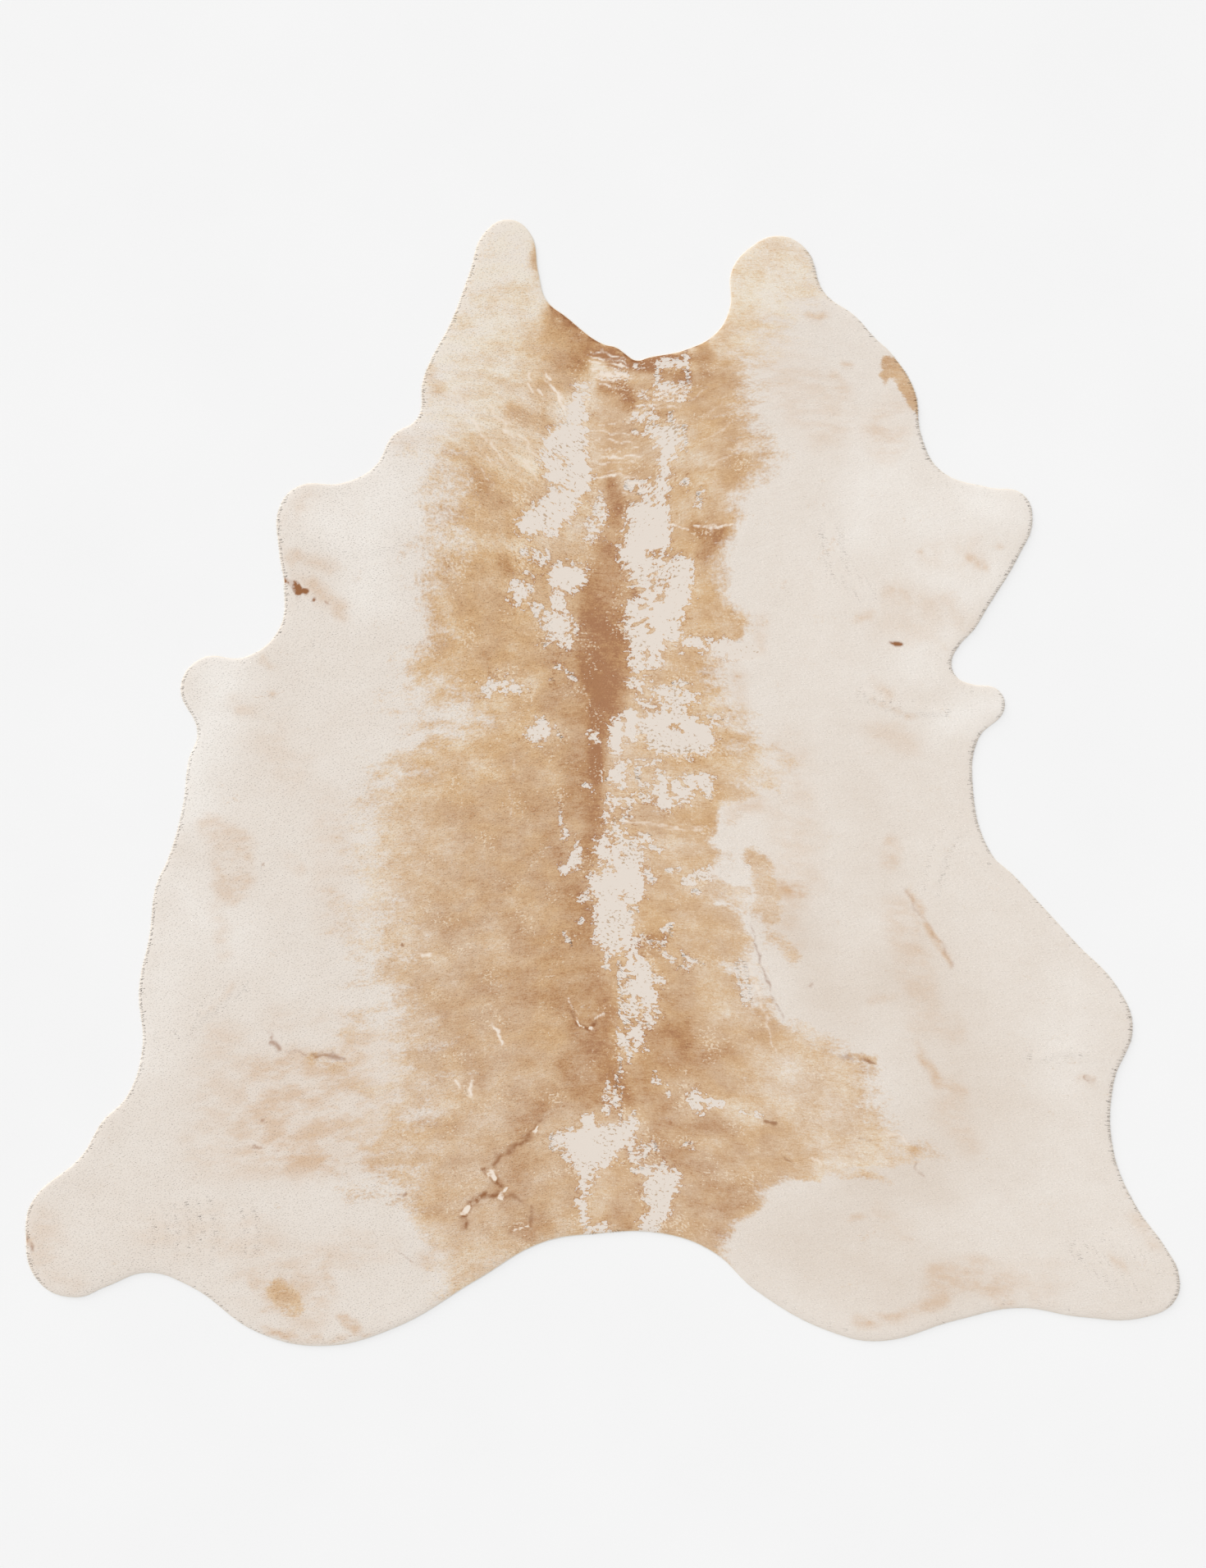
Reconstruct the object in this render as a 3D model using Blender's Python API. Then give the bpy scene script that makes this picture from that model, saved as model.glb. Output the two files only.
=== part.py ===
"""Cowhide rug: one whole tanned hide with its hair on, lying flat with the hair side up.

The rug is a single skin, cut along the hide's natural edge: two neck lobes with a notch
between them, the ends of the forelegs, the flanks and the two hind legs. It has no backing,
binding, lining or stitching, so it is one solid. Lengths are in metres, +Z is up and +Y
points to the neck. The origin is on the floor, under the middle of the hide.
"""

from typing import NamedTuple

import bpy

# Driving dimensions
HIDE_LENGTH = 2.130  # from the tip of the left neck lobe to the edge of the left hind leg
LEATHER_THICKNESS = 0.0025  # tanned skin
COAT_THICKNESS = 0.0015  # short hair, pressed flat on the skin
RIM_ROUNDING = 0.0010  # radius of the cut edge, above and below

# Fineness of the outline, and of its rim, which is one narrow chamfer above and below
STEPS_BETWEEN_POINTS = 8
RIM_STEPS = 0

COAT_COLOUR = (0.80, 0.66, 0.52, 1.0)
COAT_ROUGHNESS = 0.75


class EdgePoint(NamedTuple):
    """A point of the cut edge, in metres from the middle of the hide."""

    across: float  # to the right, with the neck at the top
    along: float  # towards the neck


# The edge runs clockwise, seen from above, starting at the left neck lobe
NECK = (
    EdgePoint(-0.225, 1.042),
    EdgePoint(-0.179, 1.070),
    EdgePoint(-0.138, 1.046),
    EdgePoint(-0.120, 0.966),
    EdgePoint(-0.107, 0.919),
    EdgePoint(-0.068, 0.886),
    EdgePoint(0.002, 0.834),
    EdgePoint(0.027, 0.828),
    EdgePoint(0.045, 0.815),
    EdgePoint(0.064, 0.803),
    EdgePoint(0.089, 0.809),
    EdgePoint(0.160, 0.824),
    EdgePoint(0.216, 0.855),
    EdgePoint(0.242, 0.903),
    EdgePoint(0.245, 0.972),
    EdgePoint(0.278, 1.015),
    EdgePoint(0.334, 1.039),
    EdgePoint(0.385, 1.015),
    EdgePoint(0.421, 0.931),
)
RIGHT_SHOULDER = (
    EdgePoint(0.480, 0.886),
    EdgePoint(0.517, 0.845),
    EdgePoint(0.548, 0.816),
    EdgePoint(0.593, 0.743),
    EdgePoint(0.604, 0.661),
    EdgePoint(0.641, 0.594),
    EdgePoint(0.731, 0.562),
    EdgePoint(0.797, 0.549),
    EdgePoint(0.815, 0.500),
    EdgePoint(0.789, 0.433),
    EdgePoint(0.731, 0.337),
)
RIGHT_ELBOW = (
    EdgePoint(0.705, 0.294),
    EdgePoint(0.675, 0.261),
    EdgePoint(0.661, 0.228),
    EdgePoint(0.674, 0.200),
    EdgePoint(0.700, 0.189),
    EdgePoint(0.750, 0.178),
    EdgePoint(0.762, 0.143),
    EdgePoint(0.713, 0.087),
)
RIGHT_FLANK = (
    EdgePoint(0.702, -0.007),
    EdgePoint(0.738, -0.134),
    EdgePoint(0.777, -0.171),
    EdgePoint(0.834, -0.232),
    EdgePoint(0.898, -0.302),
    EdgePoint(0.975, -0.384),
    EdgePoint(1.005, -0.461),
    EdgePoint(0.969, -0.566),
    EdgePoint(0.967, -0.688),
)
RIGHT_HIND_LEG = (
    EdgePoint(1.008, -0.795),
    EdgePoint(1.067, -0.879),
    EdgePoint(1.092, -0.928),
    EdgePoint(1.085, -0.980),
    EdgePoint(1.026, -1.011),
    EdgePoint(0.907, -1.010),
    EdgePoint(0.789, -0.993),
    EdgePoint(0.669, -1.017),
    EdgePoint(0.526, -1.056),
    EdgePoint(0.444, -1.042),
    EdgePoint(0.289, -0.958),
)
RUMP = (
    EdgePoint(0.213, -0.889),
    EdgePoint(0.118, -0.853),
    EdgePoint(-0.016, -0.853),
    EdgePoint(-0.115, -0.870),
    EdgePoint(-0.234, -0.938),
)
LEFT_HIND_LEG = (
    EdgePoint(-0.399, -1.033),
    EdgePoint(-0.533, -1.065),
    EdgePoint(-0.655, -1.038),
    EdgePoint(-0.780, -0.952),
    EdgePoint(-0.862, -0.926),
    EdgePoint(-0.939, -0.952),
    EdgePoint(-0.998, -0.973),
    EdgePoint(-1.068, -0.943),
    EdgePoint(-1.092, -0.845),
    EdgePoint(-1.080, -0.792),
    EdgePoint(-0.985, -0.704),
)
LEFT_FLANK = (
    EdgePoint(-0.946, -0.639),
    EdgePoint(-0.902, -0.595),
    EdgePoint(-0.871, -0.503),
    EdgePoint(-0.877, -0.387),
    EdgePoint(-0.857, -0.286),
    EdgePoint(-0.845, -0.193),
    EdgePoint(-0.821, -0.139),
    EdgePoint(-0.793, -0.036),
    EdgePoint(-0.783, 0.045),
)
LEFT_ELBOW = (
    EdgePoint(-0.766, 0.097),
    EdgePoint(-0.798, 0.186),
    EdgePoint(-0.759, 0.238),
    EdgePoint(-0.677, 0.240),
    EdgePoint(-0.612, 0.293),
)
LEFT_SHOULDER = (
    EdgePoint(-0.602, 0.372),
    EdgePoint(-0.612, 0.444),
    EdgePoint(-0.611, 0.525),
    EdgePoint(-0.576, 0.564),
    EdgePoint(-0.492, 0.570),
    EdgePoint(-0.430, 0.602),
    EdgePoint(-0.396, 0.661),
    EdgePoint(-0.349, 0.694),
    EdgePoint(-0.339, 0.767),
    EdgePoint(-0.283, 0.883),
    EdgePoint(-0.250, 0.972),
)
CUT_EDGE = (
    NECK
    + RIGHT_SHOULDER
    + RIGHT_ELBOW
    + RIGHT_FLANK
    + RIGHT_HIND_LEG
    + RUMP
    + LEFT_HIND_LEG
    + LEFT_FLANK
    + LEFT_ELBOW
    + LEFT_SHOULDER
)


def clear_scene() -> None:
    """Removes every object, so that only the rug is left."""
    for leftover in list(bpy.data.objects):
        bpy.data.objects.remove(leftover, do_unlink=True)


def coat_material() -> bpy.types.Material:
    """Returns the finish of the short, pale tan coat."""
    material = bpy.data.materials.new("short_hair_coat")
    material.use_nodes = True
    shader = material.node_tree.nodes["Principled BSDF"]
    shader.inputs["Base Color"].default_value = COAT_COLOUR
    shader.inputs["Roughness"].default_value = COAT_ROUGHNESS
    shader.inputs["Metallic"].default_value = 0.0
    return material


def closed_outline(edge: tuple[EdgePoint, ...]) -> bpy.types.Curve:
    """Returns a filled, flat curve that runs smoothly through the points of the cut edge."""
    outline = bpy.data.curves.new("hide", "CURVE")
    outline.dimensions = "2D"
    outline.fill_mode = "BOTH"
    outline.resolution_u = STEPS_BETWEEN_POINTS
    spline = outline.splines.new("BEZIER")
    spline.bezier_points.add(len(edge) - 1)
    for knot, place in zip(spline.bezier_points, edge):
        knot.co = (place.across, place.along, 0.0)
        knot.handle_left_type = "AUTO"
        knot.handle_right_type = "AUTO"
    spline.use_cyclic_u = True
    return outline


def fit_to_length(hide: bpy.types.Object) -> None:
    """Scales the outline to HIDE_LENGTH and puts the middle of its box on the origin."""
    bpy.context.view_layer.update()
    drawn = hide.evaluated_get(bpy.context.evaluated_depsgraph_get())
    flat = drawn.to_mesh()
    across = [corner.co.x for corner in flat.vertices]
    along = [corner.co.y for corner in flat.vertices]
    drawn.to_mesh_clear()
    middle_across = (min(across) + max(across)) / 2
    middle_along = (min(along) + max(along)) / 2
    growth = HIDE_LENGTH / (max(along) - min(along))
    for knot in hide.data.splines[0].bezier_points:
        place = knot.co.copy()
        knot.co = ((place.x - middle_across) * growth, (place.y - middle_along) * growth, 0.0)


def thicken(hide: bpy.types.Object) -> None:
    """Gives the outline the rug's thickness, with a rounded rim, and lays it on the floor."""
    thickness = LEATHER_THICKNESS + COAT_THICKNESS
    outline = hide.data
    outline.bevel_depth = RIM_ROUNDING
    outline.bevel_resolution = RIM_STEPS
    outline.offset = -RIM_ROUNDING
    outline.extrude = thickness / 2 - RIM_ROUNDING
    hide.location.z = thickness / 2


def build_rug() -> None:
    """Makes the rug in a collection of its own."""
    clear_scene()
    collection = bpy.data.collections.new("cowhide_rug")
    bpy.context.scene.collection.children.link(collection)
    hide = bpy.data.objects.new("hide", closed_outline(CUT_EDGE))
    collection.objects.link(hide)
    hide.data.materials.append(coat_material())
    fit_to_length(hide)
    thicken(hide)


build_rug()
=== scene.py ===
"""Looks of a cowhide rug: a short, worn and marbled coat, a hand-cut edge and a suede underside.

Lengths are in metres, +Z is up and +Y points to the neck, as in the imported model. The tables
of markings are in millimetres from the middle of the hide, as a tape laid on it would read.
"""

from __future__ import annotations

import logging
import math
from dataclasses import dataclass, field
from enum import Enum
from typing import Any, NamedTuple

import bmesh
import bpy
import numpy as np
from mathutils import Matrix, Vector
from mathutils.bvhtree import BVHTree
from mathutils.geometry import delaunay_2d_cdt
from mathutils.kdtree import KDTree


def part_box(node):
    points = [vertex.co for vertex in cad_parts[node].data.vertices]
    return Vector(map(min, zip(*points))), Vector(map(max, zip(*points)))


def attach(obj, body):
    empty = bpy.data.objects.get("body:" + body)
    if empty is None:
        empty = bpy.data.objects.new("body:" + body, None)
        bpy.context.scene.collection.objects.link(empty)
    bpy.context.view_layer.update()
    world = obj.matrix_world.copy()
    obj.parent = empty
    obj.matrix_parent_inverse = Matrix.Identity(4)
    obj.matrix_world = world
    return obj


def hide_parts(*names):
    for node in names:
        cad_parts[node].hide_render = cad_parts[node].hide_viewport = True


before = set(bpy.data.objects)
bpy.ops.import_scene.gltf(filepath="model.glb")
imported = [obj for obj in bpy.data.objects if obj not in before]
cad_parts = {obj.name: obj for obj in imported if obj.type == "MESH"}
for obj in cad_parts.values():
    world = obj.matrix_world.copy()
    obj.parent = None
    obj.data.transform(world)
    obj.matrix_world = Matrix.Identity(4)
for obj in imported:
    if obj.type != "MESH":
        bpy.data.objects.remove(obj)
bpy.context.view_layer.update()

LOG = logging.getLogger("cowhide_rug")
MM = 0.001

# A round touch of a brush: how far across and along the hide, and its half width, in millimetres
Spot = tuple[float, float, float]
# The names of patterns, each with its weight in a sum of them
Weights = tuple[tuple[str, float], ...]


class Stroke(NamedTuple):
    """A brush stroke: round spots in a row, joined by bands that taper from one to the next."""

    shade: float  # what the stroke paints; in the worn layer, the share of the hair that is gone
    fade: float  # millimetres over which its edge fades, or in the worn layer is ragged
    spots: tuple[Spot, ...]


class Band(NamedTuple):
    """How far the tan reaches from the back to each side, at one height of the hide."""

    along: float
    left: float  # where the tan ends, in millimetres
    left_fade: float
    left_shade: float
    right: float
    right_fade: float
    right_shade: float


class Layer(Enum):
    """The painted properties of the coat, each kept as an attribute of that name."""

    TAN = "tan"  # how dark the tan hair is, to 1 for the brown of the back stripe
    COVER = "cover"  # over 0 the hair is tan, under 0 pale, in widths of the ragged edge
    STAIN = "stain"  # how strongly the pale ground is washed with tan
    WORN = "worn"  # over 0, the tan hair is worn off, in widths of the ragged edge
    PALE = "pale"  # 0 is the greyest pale ground, 1 the whitest
    WARMTH = "warmth"  # 0 is pinkish, 1 ochre
    MARK = "mark"  # over 0 a brown scab or stain, under 0 a light scratch


class Side(Enum):
    """The sides of the sheet, in the order of its materials."""

    HAIR = 0
    CUT = 1
    FLESH = 2


def strokes(*rows: tuple[Any, ...]) -> tuple[Stroke, ...]:
    """Makes the strokes of a table.

    Args:
        rows: a row for each stroke, with its shade, its fade and then its spots.

    Returns:
        The strokes, in the order in which they are painted.
    """
    return tuple(Stroke(shade, fade, tuple(spots)) for shade, fade, *spots in rows)


# The tan from the neck down to the rump, on each side of the spine
TAN_BANDS = (
    Band(1070, -330, 60, -0.04, 420, 60, 0.10),
    Band(980, -330, 60, -0.02, 420, 60, 0.12),
    Band(930, -340, 60, 0.0, 420, 70, 0.14),
    Band(890, -340, 60, 0.0, 330, 60, 0.16),
    Band(850, -340, 60, 0.02, 305, 50, 0.2),
    Band(810, -345, 60, 0.03, 285, 40, 0.3),
    Band(770, -345, 60, 0.04, 275, 36, 0.44),
    Band(730, -345, 60, 0.05, 272, 36, 0.56),
    Band(690, -330, 60, 0.08, 276, 36, 0.52),
    Band(650, -320, 60, 0.18, 290, 36, 0.50),
    Band(610, -305, 60, 0.32, 310, 40, 0.48),
    Band(580, -300, 50, 0.42, 298, 36, 0.48),
    Band(550, -290, 50, 0.44, 270, 24, 0.52),
    Band(500, -300, 50, 0.46, 254, 24, 0.56),
    Band(460, -295, 60, 0.40, 248, 16, 0.58),
    Band(430, -318, 50, 0.48, 222, 20, 0.54),
    Band(390, -325, 40, 0.52, 222, 20, 0.46),
    Band(350, -325, 34, 0.54, 232, 16, 0.42),
    Band(310, -335, 34, 0.54, 285, 24, 0.42),
    Band(290, -335, 34, 0.54, 292, 24, 0.40),
    Band(262, -338, 36, 0.52, 216, 24, 0.44),
    Band(235, -340, 40, 0.50, 220, 30, 0.46),
    Band(200, -345, 50, 0.45, 215, 30, 0.46),
    Band(165, -330, 60, 0.38, 222, 40, 0.40),
    Band(130, -290, 90, 0.36, 240, 40, 0.38),
    Band(100, -290, 80, 0.42, 262, 36, 0.38),
    Band(60, -375, 50, 0.42, 300, 50, 0.36),
    Band(0, -415, 50, 0.47, 300, 50, 0.38),
    Band(-28, -425, 50, 0.55, 290, 40, 0.40),
    Band(-48, -430, 50, 0.58, 216, 10, 0.46),
    Band(-110, -440, 50, 0.60, 220, 10, 0.48),
    Band(-150, -440, 50, 0.60, 206, 12, 0.44),
    Band(-200, -438, 60, 0.60, 208, 20, 0.44),
    Band(-225, -436, 60, 0.60, 250, 20, 0.46),
    Band(-250, -435, 60, 0.60, 262, 20, 0.48),
    Band(-300, -430, 60, 0.60, 285, 24, 0.46),
    Band(-350, -415, 60, 0.59, 262, 30, 0.46),
    Band(-400, -405, 70, 0.58, 285, 30, 0.50),
    Band(-450, -400, 80, 0.57, 330, 30, 0.52),
    Band(-475, -400, 90, 0.55, 400, 50, 0.5),
    Band(-500, -400, 90, 0.53, 440, 50, 0.48),
    Band(-530, -400, 90, 0.51, 490, 40, 0.48),
    Band(-560, -400, 90, 0.49, 500, 30, 0.46),
    Band(-600, -400, 90, 0.47, 495, 30, 0.46),
    Band(-640, -400, 90, 0.47, 530, 40, 0.48),
    Band(-680, -420, 80, 0.49, 580, 50, 0.48),
    Band(-705, -415, 70, 0.50, 590, 36, 0.46),
    Band(-725, -405, 60, 0.51, 598, 30, 0.44),
    Band(-742, -400, 60, 0.51, 340, 24, 0.48),
    Band(-765, -392, 50, 0.51, 306, 20, 0.54),
    Band(-800, -386, 30, 0.51, 295, 14, 0.54),
    Band(-825, -352, 24, 0.50, 280, 12, 0.50),
    Band(-842, -330, 24, 0.48, 230, 14, 0.52),
    Band(-870, -316, 24, 0.42, 226, 12, 0.52),
    Band(-910, -312, 30, 0.32, 235, 12, 0.48),
    Band(-950, -290, 30, 0.24, 230, 20, 0.34),
)

# Where the tan hair is darker or paler than its band; a later stroke lies over an earlier one
TAN_STROKES = strokes(
    # The tan pales towards the belly
    (0.22, 260, (-450, -40, 70), (-450, -330, 70)),
    (0.22, 150, (-430, -460, 50), (-430, -640, 60)),
    (0.42, 80, (-380, -700, 40), (-340, -780, 30)),
    (0.30, 70, (310, 70, 20), (318, -10, 26)),
    (0.36, 70, (350, -500, 26), (410, -530, 34), (430, -600, 60), (470, -680, 50), (540, -700, 36)),
    (0.46, 60, (-330, -640, 50), (-300, -600, 40)),
    # Left neck lobe
    (0.11, 80, (-160, 925, 26), (-180, 860, 40), (-190, 790, 44)),
    (0.24, 40, (-150, 940, 8), (-140, 900, 12), (-150, 790, 16), (-145, 740, 20)),
    (0.34, 22, (-137, 1016, 8), (-126, 960, 10)),
    (0.60, 10, (-131, 1006, 4), (-124, 968, 6)),
    (0.30, 26, (-325, 785, 10), (-316, 745, 16)),
    (0.18, 22, (-150, 880, 14), (-205, 884, 10)),
    (0.27, 50, (-205, 690, 20), (-185, 690, 20)),
    (0.36, 44, (-195, 752, 12), (-150, 750, 20), (-108, 754, 20)),
    (0.42, 44, (-155, 690, 22), (-125, 682, 28), (-116, 738, 18)),
    (0.54, 22, (-165, 700, 12), (-140, 686, 12)),
    (0.56, 16, (-110, 668, 8), (-120, 690, 8)),
    (0.33, 36, (-215, 638, 20), (-145, 640, 18)),
    (0.26, 30, (-160, 608, 14), (-140, 602, 14)),
    (0.60, 34, (-248, 590, 12), (-224, 552, 20), (-192, 508, 24), (-164, 480, 14)),
    (0.56, 40, (-300, 500, 12), (-255, 505, 16)),
    (0.70, 18, (-242, 586, 7), (-222, 562, 8)),
    (0.62, 14, (-292, 620, 8), (-276, 616, 7)),
    (0.30, 26, (-255, 458, 12), (-165, 454, 12)),
    # Neck, beside the notch
    (0.42, 60, (-108, 890, 14), (-92, 830, 46), (-92, 780, 44), (-86, 750, 20)),
    (0.68, 44, (-88, 876, 14), (-60, 824, 36), (-64, 785, 30), (-60, 760, 14)),
    (0.82, 26, (-64, 862, 10), (-36, 826, 18), (-46, 792, 14)),
    (0.86, 12, (-100, 898, 4), (-66, 872, 8), (-32, 842, 12), (-5, 824, 8), (20, 816, 7)),
    (0.86, 8, (12, 786, 3), (30, 786, 3)),
    (0.96, 10, (60, 792, 7), (88, 785, 10), (90, 778, 8)),
    (0.90, 8, (104, 809, 5), (142, 809, 5)),
    (0.84, 10, (114, 770, 9), (154, 770, 11)),
    (0.64, 26, (170, 812, 8), (190, 790, 18), (190, 740, 22), (178, 712, 16)),
    (0.54, 30, (235, 780, 18), (240, 735, 16)),
    (0.98, 20, (-24, 816, 14), (20, 802, 14), (60, 788, 14), (110, 796, 12), (155, 806, 10)),
    (0.76, 20, (182, 824, 8), (192, 812, 14), (196, 776, 18)),
    (0.60, 26, (-112, 752, 10), (-92, 758, 12)),
    (0.94, 22, (2, 748, 12), (34, 744, 18), (42, 724, 17), (30, 706, 12)),
    (0.66, 16, (100, 698, 10), (122, 690, 9)),
    (0.62, 26, (240, 650, 16), (250, 600, 18), (232, 566, 12)),
    (0.34, 36, (160, 650, 14), (160, 600, 20), (196, 560, 20)),
    (0.24, 30, (112, 640, 12), (150, 612, 18), (200, 608, 16)),
    # Back stripe, from the neck to the loin
    (0.42, 60, (0, 700, 30), (10, 600, 40)),
    (0.58, 26, (22, 704, 16), (24, 640, 20)),
    (0.62, 20, (8, 602, 12), (16, 590, 12)),
    (0.52, 18, (42, 598, 10), (62, 580, 12)),
    (0.86, 18, (12, 568, 12), (18, 545, 12), (22, 520, 20), (20, 495, 12)),
    (0.56, 24, (8, 470, 14), (12, 440, 22)),
    (0.64, 60, (8, 430, 26), (2, 350, 44), (-6, 250, 60), (-8, 180, 54), (-16, 60, 36), (-22, -60, 30)),
    (0.78, 22, (6, 436, 22), (6, 400, 34), (4, 350, 42), (0, 300, 44)),
    (0.70, 50, (-70, 240, 12), (-70, 190, 36), (-70, 150, 34), (-50, 90, 16)),
    (0.84, 22, (0, 300, 46), (2, 240, 54), (6, 190, 50), (4, 150, 44), (-8, 105, 26)),
    (0.94, 24, (8, 306, 30), (10, 270, 36), (2, 235, 42), (4, 200, 40), (2, 160, 34), (-8, 115, 20)),
    (1.0, 22, (12, 290, 16), (12, 268, 24), (6, 248, 24)),
    (1.0, 22, (-16, 232, 18), (0, 202, 24), (0, 165, 20), (-8, 135, 18), (-8, 112, 16), (-6, 92, 12)),
    (0.86, 24, (-17, 66, 20), (-20, 20, 24), (-22, -40, 20), (-14, -92, 18)),
    (1.0, 16, (-10, 62, 9), (-12, 34, 12), (-10, 8, 9)),
    (0.88, 16, (-14, -20, 9), (-14, -46, 10)),
    (0.84, 24, (-28, -110, 14), (-30, -150, 14), (-28, -175, 12)),
    (0.80, 24, (-50, -200, 12), (-44, -210, 10)),
    (0.84, 22, (-44, -236, 18), (-44, -265, 22), (-40, -292, 18)),
    (0.80, 36, (-30, -320, 22), (-36, -380, 24), (-30, -440, 20), (-10, -480, 18)),
    (0.74, 40, (-24, -500, 16), (-20, -600, 20)),
    # Deeper and lighter clouds on the body
    (0.66, 50, (-160, 148, 16), (-120, 155, 26)),
    (0.74, 44, (-104, 152, 22), (-60, 150, 30)),
    (0.58, 50, (-115, 62, 22), (-90, 60, 26)),
    (0.74, 40, (-60, 70, 20), (-56, 20, 20), (-64, -50, 16)),
    (0.58, 30, (-190, 232, 14), (-110, 228, 16), (-70, 222, 16)),
    (0.62, 20, (62, 190, 12), (70, 150, 14), (104, 146, 10)),
    (0.96, 14, (56, 356, 10), (68, 346, 8)),
    (0.66, 10, (92, 428, 5), (120, 434, 7), (142, 428, 6)),
    (0.64, 30, (-205, 345, 10), (-175, 305, 14), (-125, 268, 12)),
    (0.56, 60, (-235, 345, 24), (-220, 270, 30)),
    (0.34, 44, (-308, 350, 16), (-288, 300, 18)),
    (0.72, 18, (-192, 424, 7), (-180, 406, 10)),
    (0.58, 36, (-290, 400, 20), (-240, 405, 20)),
    (0.90, 22, (178, 480, 12), (210, 466, 22), (224, 478, 14)),
    (0.80, 20, (206, 456, 14), (190, 434, 12)),
    (0.56, 30, (140, 228, 16), (180, 240, 16), (196, 215, 14)),
    (0.54, 24, (170, 200, 16), (190, 180, 16)),
    (0.52, 16, (70, 196, 8), (100, 192, 10)),
    (0.56, 26, (215, 10, 10), (222, -22, 12)),
    (0.54, 40, (140, 44, 14), (190, 40, 12)),
    (0.70, 80, (-90, -110, 30), (-78, -240, 34), (-66, -350, 40), (-60, -420, 34)),
    (0.70, 60, (-170, -360, 24), (-140, -400, 26)),
    (0.46, 50, (-345, -340, 20), (-250, -352, 24)),
    (0.38, 50, (-398, -352, 14), (-384, -300, 12)),
    (0.38, 50, (-350, -500, 20), (-345, -560, 18)),
    (0.28, 44, (-340, -605, 20), (-296, -608, 22)),
    (0.18, 34, (-350, -838, 20), (-305, -850, 14)),
    (0.74, 44, (-252, -490, 20), (-240, -555, 22)),
    (0.76, 44, (-98, -598, 22), (-142, -648, 24)),
    (0.70, 50, (-208, -700, 20), (-215, -775, 24)),
    (0.84, 44, (0, -395, 20), (0, -470, 26), (8, -540, 28), (32, -592, 26)),
    (0.48, 60, (-265, -115, 24), (-230, -60, 24)),
    (0.58, 50, (-205, 60, 20), (-150, 10, 24), (-200, 0, 20)),
    (0.28, 50, (-340, -170, 22), (-392, -115, 16), (-400, -60, 16)),
    (0.42, 40, (-250, -298, 18), (-185, -310, 18)),
    (0.40, 60, (-306, -92, 22), (-292, -130, 20)),
    (0.54, 60, (-235, -240, 20), (-190, -215, 20)),
    (0.55, 70, (-130, -500, 30), (-150, -570, 30)),
    (0.84, 44, (-62, -530, 20), (-50, -580, 20)),
    # Right side, from the ribs down to the rump
    (0.40, 30, (225, 32, 14), (245, 20, 12)),
    (0.18, 40, (285, 40, 14), (292, 8, 16)),
    (0.58, 50, (60, -60, 20), (110, -80, 24), (190, -95, 24)),
    (0.48, 50, (110, -122, 24), (190, -130, 20)),
    (0.36, 30, (280, -136, 20), (294, -180, 28), (304, -225, 26), (346, -312, 22)),
    (0.42, 18, (282, -134, 8), (290, -166, 12)),
    (0.40, 24, (225, -196, 10), (262, -206, 12)),
    (0.60, 40, (90, -230, 20), (110, -250, 26)),
    (0.48, 50, (185, -250, 30), (200, -290, 30)),
    (0.38, 40, (246, -278, 20), (262, -300, 20)),
    (0.62, 50, (105, -320, 24), (140, -370, 26), (150, -400, 24)),
    (0.34, 50, (205, -378, 22), (232, -428, 24)),
    (0.78, 50, (66, -470, 30), (150, -476, 26)),
    (0.50, 44, (205, -462, 16), (290, -476, 20)),
    (0.24, 40, (350, -478, 16), (410, -482, 14)),
    (0.74, 40, (90, -545, 30), (150, -525, 32), (215, -525, 28)),
    (0.64, 26, (240, -540, 16), (252, -516, 14)),
    (0.24, 34, (300, -525, 16), (345, -548, 26), (450, -528, 14)),
    (0.60, 50, (140, -590, 20), (210, -570, 16)),
    (0.78, 26, (200, -500, 16), (244, -505, 14)),
    (0.80, 26, (56, -302, 14), (112, -292, 14)),
    (0.80, 24, (-54, -450, 12), (-36, -500, 12)),
    (0.58, 30, (246, -576, 18), (252, -600, 14)),
    (0.20, 34, (300, -575, 14), (340, -600, 22), (352, -620, 18)),
    (0.42, 28, (388, -570, 14), (425, -588, 16), (474, -574, 16)),
    (0.64, 44, (90, -600, 24), (120, -640, 28)),
    (0.76, 44, (96, -668, 24), (112, -700, 30), (150, -706, 22)),
    (0.76, 34, (178, -655, 20), (215, -648, 20)),
    (0.70, 36, (245, -660, 22), (262, -700, 20)),
    (0.28, 28, (240, -612, 8), (300, -632, 10)),
    (0.34, 40, (396, -628, 16), (510, -634, 14)),
    (0.28, 36, (398, -684, 14), (470, -690, 18), (560, -694, 14)),
    (0.34, 20, (488, -676, 6), (520, -684, 6)),
    (0.38, 40, (300, -692, 18), (352, -690, 16)),
    (0.64, 50, (190, -722, 34), (255, -722, 28)),
    (0.40, 26, (312, -722, 10), (352, -724, 12)),
    (0.20, 36, (415, -725, 14), (520, -728, 16), (590, -720, 10)),
    (0.64, 50, (170, -780, 36), (280, -785, 26)),
    (0.62, 36, (150, -835, 24), (222, -842, 14)),
    (0.68, 60, (-150, -720, 36), (-170, -790, 36)),
    (0.58, 60, (-250, -740, 30), (-238, -780, 26)),
    (0.42, 40, (-218, -812, 22), (-192, -840, 14)),
    (0.60, 26, (-300, -660, 12), (-280, -650, 10)),
    (0.56, 30, (-330, -800, 16), (-360, -790, 12)),
    (0.66, 24, (-116, -820, 16), (-100, -840, 12)),
    (0.66, 26, (-172, -846, 14), (-140, -856, 12)),
    (0.52, 26, (-352, -750, 14), (-380, -768, 10)),
    (0.38, 22, (-8, -735, 12), (0, -775, 22), (-10, -810, 14)),
    (0.60, 20, (50, -765, 20), (40, -800, 26), (40, -835, 18)),
    (0.50, 34, (-70, -770, 14), (-60, -815, 14)),
    # The tan that comes back at the right shoulder's edge
    (0.54, 40, (545, 795, 30), (596, 730, 26)),
    (0.44, 16, (-610, -960, 20), (-585, -990, 24)),
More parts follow.
